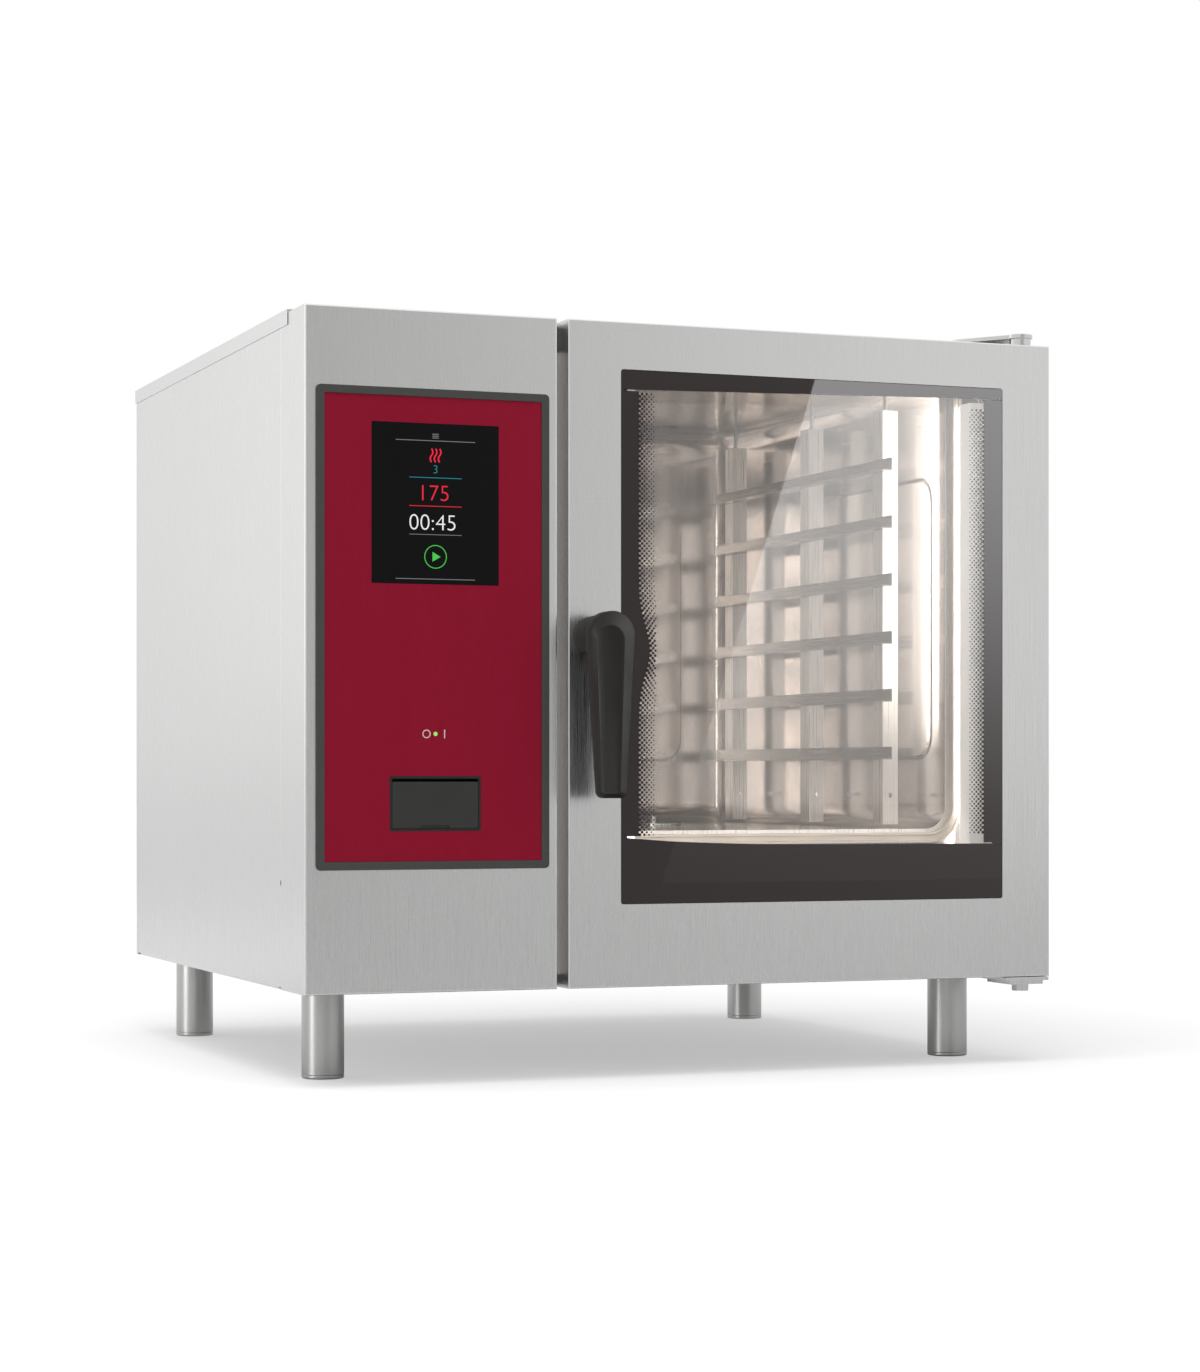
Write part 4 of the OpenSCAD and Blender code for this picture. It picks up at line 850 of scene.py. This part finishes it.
# %% Enamel bands
pane_low, pane_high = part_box("outer_glass")
print_front = pane_low.y - half_print
print_back = pane_low.y + half_print
left_x, right_x = pane_low.x, pane_high.x
low_z, high_z = pane_low.z, pane_high.z
left_wide = 20.5 * MM
right_wide = 23.5 * MM
lever_joint = next(j for j in frame["joints"] if j["name"] == "handle_turn")
pivot_x, _, pivot_z = lever_joint["pos_m"]


def left_edge(z):
    """Inner edge of the left band, which swells beside the handle's pivot."""
    swell = math.exp(-(((z - pivot_z + 14 * MM) / (36 * MM)) ** 2))
    return left_x + left_wide + 13 * MM * swell


def top_edge(x):
    """Bottom of the top band, which narrows towards the hinge side."""
    along = (x - left_x) / (right_x - left_x)
    return high_z - (21.5 - 10 * along) * MM


def low_edge(x):
    """Top of the bottom band, which rises towards the handle side."""
    along = (x - left_x) / (right_x - left_x)
    return low_z + (62 + 10 * math.exp(-along * 5)) * MM


def steps(start, end, count):
    return [start + (end - start) * i / count for i in range(count + 1)]


line_gap = 1.1 * MM
across = steps(left_x, right_x, 30)
top_band = [(left_x, high_z), *[(x, top_edge(x)) for x in across], (right_x, high_z)]
low_band = [(right_x, low_z), (left_x, low_z), *[(x, low_edge(x)) for x in across]]
up_left = steps(low_edge(left_x) + line_gap, top_edge(left_x) - line_gap, 60)
left_band = [(left_x, up_left[0]), *[(left_edge(z), z) for z in up_left], (left_x, up_left[-1])]
right_inner = right_x - right_wide
right_band = [
    (right_inner, low_edge(right_inner) + line_gap),
    (right_x, low_edge(right_x) + line_gap),
    (right_x, top_edge(right_x) - line_gap),
    (right_inner, top_edge(right_inner) - line_gap),
]
bands = [top_band, low_band, left_band, right_band]
panes.objects.link(layer("window_print", bands, print_front, print_back, "door", window_print))
print("enamel bands from", round(left_x, 4), "to", round(right_x, 4))

# %% [markdown]
# The inner pane has a plain dark band along its left and its right edge, outside the door gasket. Without
# it, the lamp bars would shine past the gasket, and a strip of light would show at the hinge side of a
# closed door.

# %% Inner pane's bands
inner_low, inner_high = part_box("inner_glass")
seal_low, seal_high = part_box("door_gasket")
rim_margin = 1 * MM
rim_low = inner_low.z + rim_margin
rim_high = inner_high.z - rim_margin


def rim_band(a, b):
    return [(a, rim_low), (b, rim_low), (b, rim_high), (a, rim_high)]


rims = [rim_band(inner_low.x + rim_margin, seal_low.x), rim_band(seal_high.x, inner_high.x - rim_margin)]
rim_front = inner_high.y - half_print
rim_back = inner_high.y + half_print
layer("inner_print", rims, rim_front, rim_back, "door", window_print)
print("inner pane's bands:", [round(b[1][0] - b[0][0], 4) for b in rims])

# %% [markdown]
# The dots stand in staggered columns that shrink away from the band, so the enamel fades out into clear
# glass. Each dot is a small eight-sided slab, which reads as round at this size. Beside the handle, the
# swollen band covers some of them.

# %% Enamel dots
dot_step = 2.7 * MM
dot_columns = 7
dot_sides = 8


def dot(x, z, radius):
    turns = [2 * math.pi * k / dot_sides for k in range(dot_sides)]
    return [(x + radius * math.cos(a), z + radius * math.sin(a)) for a in turns]


dots = []
row_count = int((top_edge(left_x) - low_edge(left_x)) / dot_step) - 1
zone_end = left_x + left_wide + dot_step * (dot_columns + 0.5)
for row in range(row_count):
    z = low_edge(left_x) + (row + 1) * dot_step
    for column in range(row % 2, dot_columns, 2):
        radius = (1.86 - 0.18 * column) * MM
        step_in = dot_step * (column + 0.4)
        if left_edge(z) + step_in < zone_end:
            dots.append(dot(left_edge(z) + step_in, z, radius))
        dots.append(dot(right_inner - step_in, z, radius))
panes.objects.link(layer("window_dots", dots, print_front, print_back, "door", window_print))
print("enamel dots:", len(dots))

# %% [markdown]
# ## The handle
# The lever is a moulded grip: a round head on a stout neck, a bar that narrows downwards, and a flat front
# that sits off centre, with a broad chamfer to its right and above it and hardly any to its left. It is
# built as a stack of rings. Each ring is the lever's outline, part of the way to the outline of the flat
# front, at its own depth.


# %% Lever outline
lever_low, lever_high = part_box("handle_lever")
head_r = lever_high.z - pivot_z
end_z = lever_low.z - pivot_z
end_half = 15.5 * MM
front_shift = Vector((-5.8, -6.6)) * MM
front_less = 9.0 * MM
end_shift = -5.2 * MM
end_less = 4.8 * MM
end_rise = 5.0 * MM


def between(a, b, count=10):
    """Points on the straight way from a to b, without its ends."""
    return [(a[0] + (b[0] - a[0]) * t / count, a[1] + (b[1] - a[1]) * t / count) for t in range(1, count)]


def lever_ring(way, depth, inset=0.0, end_depth=None):
    """The lever's outline, way along to the flat front's outline, drawn in by inset, at a depth."""
    radius = head_r - front_less * way - inset
    half = end_half - end_less * way - 0.8 * inset
    bottom = end_z + end_rise * way + inset
    corner = max(7 * MM - 3 * MM * way - 0.6 * inset, 1.5 * MM)
    middle = front_shift * way
    foot_x = end_shift * way
    lean = math.atan2(radius - half, middle.y - bottom)
    arc = [-lean + (math.pi + 2 * lean) * k / 32 for k in range(33)]
    head = [(middle.x + radius * math.cos(a), middle.y + radius * math.sin(a)) for a in arc]
    left_arc = [math.pi + lean + (math.pi / 2 - lean) * k / 7 for k in range(8)]
    right_arc = [1.5 * math.pi + (math.pi / 2 - lean) * k / 7 for k in range(8)]
    side = half - corner

    def low_corner(x, turns):
        return [(x + corner * math.cos(a), bottom + corner * (1 + math.sin(a))) for a in turns]

    low_left = low_corner(foot_x - side, left_arc)
    low_right = low_corner(foot_x + side, right_arc)
    flat = head + between(head[-1], low_left[0]) + low_left + low_right + between(low_right[-1], head[0])
    last = depth if end_depth is None else end_depth
    return [(pivot_x + x, depth + (last - depth) * max(0.0, z / end_z), pivot_z + z) for x, z in flat]


def stack(shape, rings):
    """Bands of faces between rings of equal length."""
    loops = [[shape.verts.new(point) for point in ring] for ring in rings]
    for first, second in zip(loops, loops[1:]):
        for i in range(len(first)):
            j = (i + 1) % len(first)
            shape.faces.new((first[i], first[j], second[j], second[i]))
    return loops


# %% Lever
face_y = lever_low.y
door_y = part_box("door_frame")[0].y
back_y = door_y - 34 * MM
back_end_y = door_y - 39.6 * MM
lever_shape = bmesh.new()
lever_loops = stack(lever_shape, [
    lever_ring(0, back_y, 8 * MM, back_end_y),
    lever_ring(0, back_y, 2.2 * MM, back_end_y),
    lever_ring(0, back_y - 0.7 * MM, 0.6 * MM, back_end_y - 0.7 * MM),
    lever_ring(0, back_y - 2.4 * MM, 0, back_end_y - 2.4 * MM),
    lever_ring(0, face_y + 8.6 * MM),
    lever_ring(0.02, face_y + 7.2 * MM, 0.3 * MM),
    lever_ring(0.08, face_y + 6.4 * MM, 0.4 * MM),
    lever_ring(0.94, face_y + 0.5 * MM),
    lever_ring(1, face_y),
    lever_ring(1, face_y + 0.2 * MM, 0.8 * MM),
    lever_ring(1, face_y + 0.9 * MM, 2.6 * MM),
])
lever_shape.faces.new(lever_loops[0])
lever_shape.faces.new(reversed(lever_loops[-1]))
print("lever rings:", len(lever_loops))

# %% Neck
neck_length = 34.4
neck_sides = 56
neck_shift = -4.2
neck_profile = [(20.2, 0.7), (21.0, 1.4), (21.4, 6), (22.2, 16), (23.0, 26), (23.6, neck_length)]
neck_turns = [2 * math.pi * k / neck_sides for k in range(neck_sides)]
neck_rings = []
for radius, out in neck_profile:
    x = pivot_x + neck_shift * (1 - out / neck_length) * MM
    neck_rings.append([(x + radius * MM * math.cos(a), door_y - out * MM, pivot_z + radius * MM * math.sin(a))
                       for a in neck_turns])
neck_loops = stack(lever_shape, neck_rings)
lever_shape.faces.new(reversed(neck_loops[0]))
lever_shape.faces.new(neck_loops[-1])
bmesh.ops.triangulate(lever_shape, faces=[f for f in lever_shape.faces if len(f.verts) > 4])
bmesh.ops.recalc_face_normals(lever_shape, faces=lever_shape.faces)
lever_mesh = bpy.data.meshes.new("lever_grip")
lever_shape.to_mesh(lever_mesh)
lever_shape.free()
smooth_faces(lever_mesh, angle=50)
lever = as_piece("lever_grip", lever_mesh, "handle", handle_black)
grips.objects.link(lever)
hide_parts("handle_lever")
print("lever reaches", round(door_y - face_y, 4), "metres in front of the door")

# %% [markdown]
# ## What the screen shows
# The screen shows a plain cooking page: a heat sign, a temperature, a time and a start ring. Only numbers
# are lettered. Each mark is a thin layer of light on the screen's face, so it stays sharp at any distance.


# %% Screen inks
def light_ink(name, colour):
    """Colour that shines from the screen, in fine pixels."""
    dull = {"Roughness": 0.3, "Specular_IOR_Level": 0.1}
    made = Finish(name, shade_of(colour, 0.2), Emission_Strength=1.0, **dull)
    pixels = made.specks(4000, detail=0.0)
    made.set("Emission Color", made.blend(pixels, shade_of(colour, 0.94), colour))
    return made.material


ink_white = light_ink("ink_white", paint(225, 226, 226))
ink_red = light_ink("ink_red", paint(226, 38, 62))
ink_teal = light_ink("ink_teal", paint(38, 132, 142))
ink_green = light_ink("ink_green", paint(70, 190, 74))
ink_grey = light_ink("ink_grey", paint(120, 122, 122))
mark_pale = printed_glass("mark_pale", paint(226, 214, 212), rough=0.4, Specular_IOR_Level=0.1)
screen_low, screen_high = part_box("touch_display")
screen_y = screen_low.y
ink_front = screen_y - 0.06 * MM
ink_back = screen_y + 0.04 * MM
screen_x = (screen_low.x + screen_high.x) / 2
lit_low = screen_low.z + 11 * MM


def bar_outline(x, z, wide, tall):
    return [(x - wide / 2, z), (x + wide / 2, z), (x + wide / 2, z + tall), (x - wide / 2, z + tall)]


def arc_strip(x, z, radius, width, start, end, count=40):
    """A curved strip round a point, from one angle to another in degrees."""
    turns = [math.radians(a) for a in steps(start, end, count)]
    outer = [(x + (radius + width / 2) * math.cos(a), z + (radius + width / 2) * math.sin(a)) for a in turns]
    inner = [(x + (radius - width / 2) * math.cos(a), z + (radius - width / 2) * math.sin(a)) for a in turns]
    return outer + inner[::-1]


def full_ring(x, z, radius, width):
    """A whole ring, as two half strips."""
    return [arc_strip(x, z, radius, width, start, start + 180) for start in (0, 180)]


def screen_ink(name, outlines, finish):
    return layer(name, outlines, ink_front, ink_back, "cabinet", finish)


# %% Screen numbers
def number(name, words, x, z, tall, finish):
    """Digits from the plain built-in face, centred on x, standing on z."""
    curve = bpy.data.curves.new(name, "FONT")
    curve.body = words
    curve.size = tall / 0.7
    curve.align_x = "CENTER"
    curve.extrude = (ink_back - ink_front) / 2
    curve.offset = -0.022 * tall
    text = bpy.data.objects.new(name, curve)
    bpy.context.scene.collection.objects.link(text)
    view = bpy.context.evaluated_depsgraph_get()
    mesh = bpy.data.meshes.new_from_object(text.evaluated_get(view))
    bpy.data.objects.remove(text)
    for vertex in mesh.vertices:
        across_x, up_z, out = vertex.co
        vertex.co = (x + across_x, (ink_front + ink_back) / 2 - out, z + up_z)
    mesh.name = name
    return as_piece(name, mesh, "cabinet", finish)


number("screen_degrees", "175", screen_x - 2 * MM, lit_low + 83 * MM, tall=17 * MM, finish=ink_red)
number("screen_time", "00:45", screen_x - 3 * MM, lit_low + 52 * MM, tall=17 * MM, finish=ink_white)
number("screen_steam", "3", screen_x, lit_low + 112 * MM, tall=9 * MM, finish=ink_teal)
line_wide = 58 * MM
page_wide = 88 * MM
line_tall = 0.7 * MM
red_line = bar_outline(screen_x, lit_low + 77 * MM, line_wide, line_tall)
teal_line = bar_outline(screen_x, lit_low + 107 * MM, line_wide, line_tall)
screen_ink("screen_lines_red", [red_line], ink_red)
screen_ink("screen_lines_teal", [teal_line], ink_teal)
screen_ink("screen_lines_grey", [
    bar_outline(screen_x, lit_low + 47 * MM, line_wide, 0.6 * MM),
    bar_outline(screen_x, lit_low, page_wide, line_tall),
    bar_outline(screen_x, lit_low + 146 * MM, page_wide, line_tall),
    *[bar_outline(screen_x, lit_low + (149 + 2 * k) * MM, 7 * MM, 0.8 * MM) for k in range(3)],
], ink_grey)
print("screen is", round((screen_high.x - screen_low.x) / MM), "mm wide")

# %% Screen signs
ring_z = lit_low + 24 * MM
start_arrow = [(-3.4, -5.2), (5.6, 0), (-3.4, 5.2)]
screen_ink("screen_start_ring", [
    *full_ring(screen_x, ring_z, radius=12 * MM, width=0.9 * MM),
    [(screen_x + x * MM, ring_z + z * MM) for x, z in start_arrow],
], ink_green)
heat_z = lit_low + 131 * MM
waves = []
for side in (-4.5, 0, 4.5):
    middle = screen_x + side * MM
    waves.append(arc_strip(middle - 3.5 * MM, heat_z + 3.5 * MM, 5 * MM, 1.5 * MM, -45, 45, 16))
    waves.append(arc_strip(middle + 3.57 * MM, heat_z - 3.57 * MM, 5 * MM, 1.5 * MM, 135, 225, 16))
screen_ink("screen_heat", waves, ink_red)
print("strips in the heat sign:", len(waves))

# %% [markdown]
# ## Marks on the red pane
# Beside the pilot lamp, a ring and a bar are printed for off and on.

# %% Off and on marks
lamp_low, lamp_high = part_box("power_lamp")
lamp_x = (lamp_low.x + lamp_high.x) / 2
lamp_z = (lamp_low.z + lamp_high.z) / 2
red_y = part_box("control_glass")[0].y
mark_step = 10 * MM
layer("off_on_marks", [
    *full_ring(lamp_x - mark_step, lamp_z, radius=4 * MM, width=1.1 * MM),
    bar_outline(lamp_x + mark_step, lamp_z - 4.5 * MM, 1.2 * MM, 9 * MM),
], red_y - half_print, red_y + half_print, "cabinet", mark_pale)
print("marks stand", round(mark_step / MM), "mm from the pilot lamp")
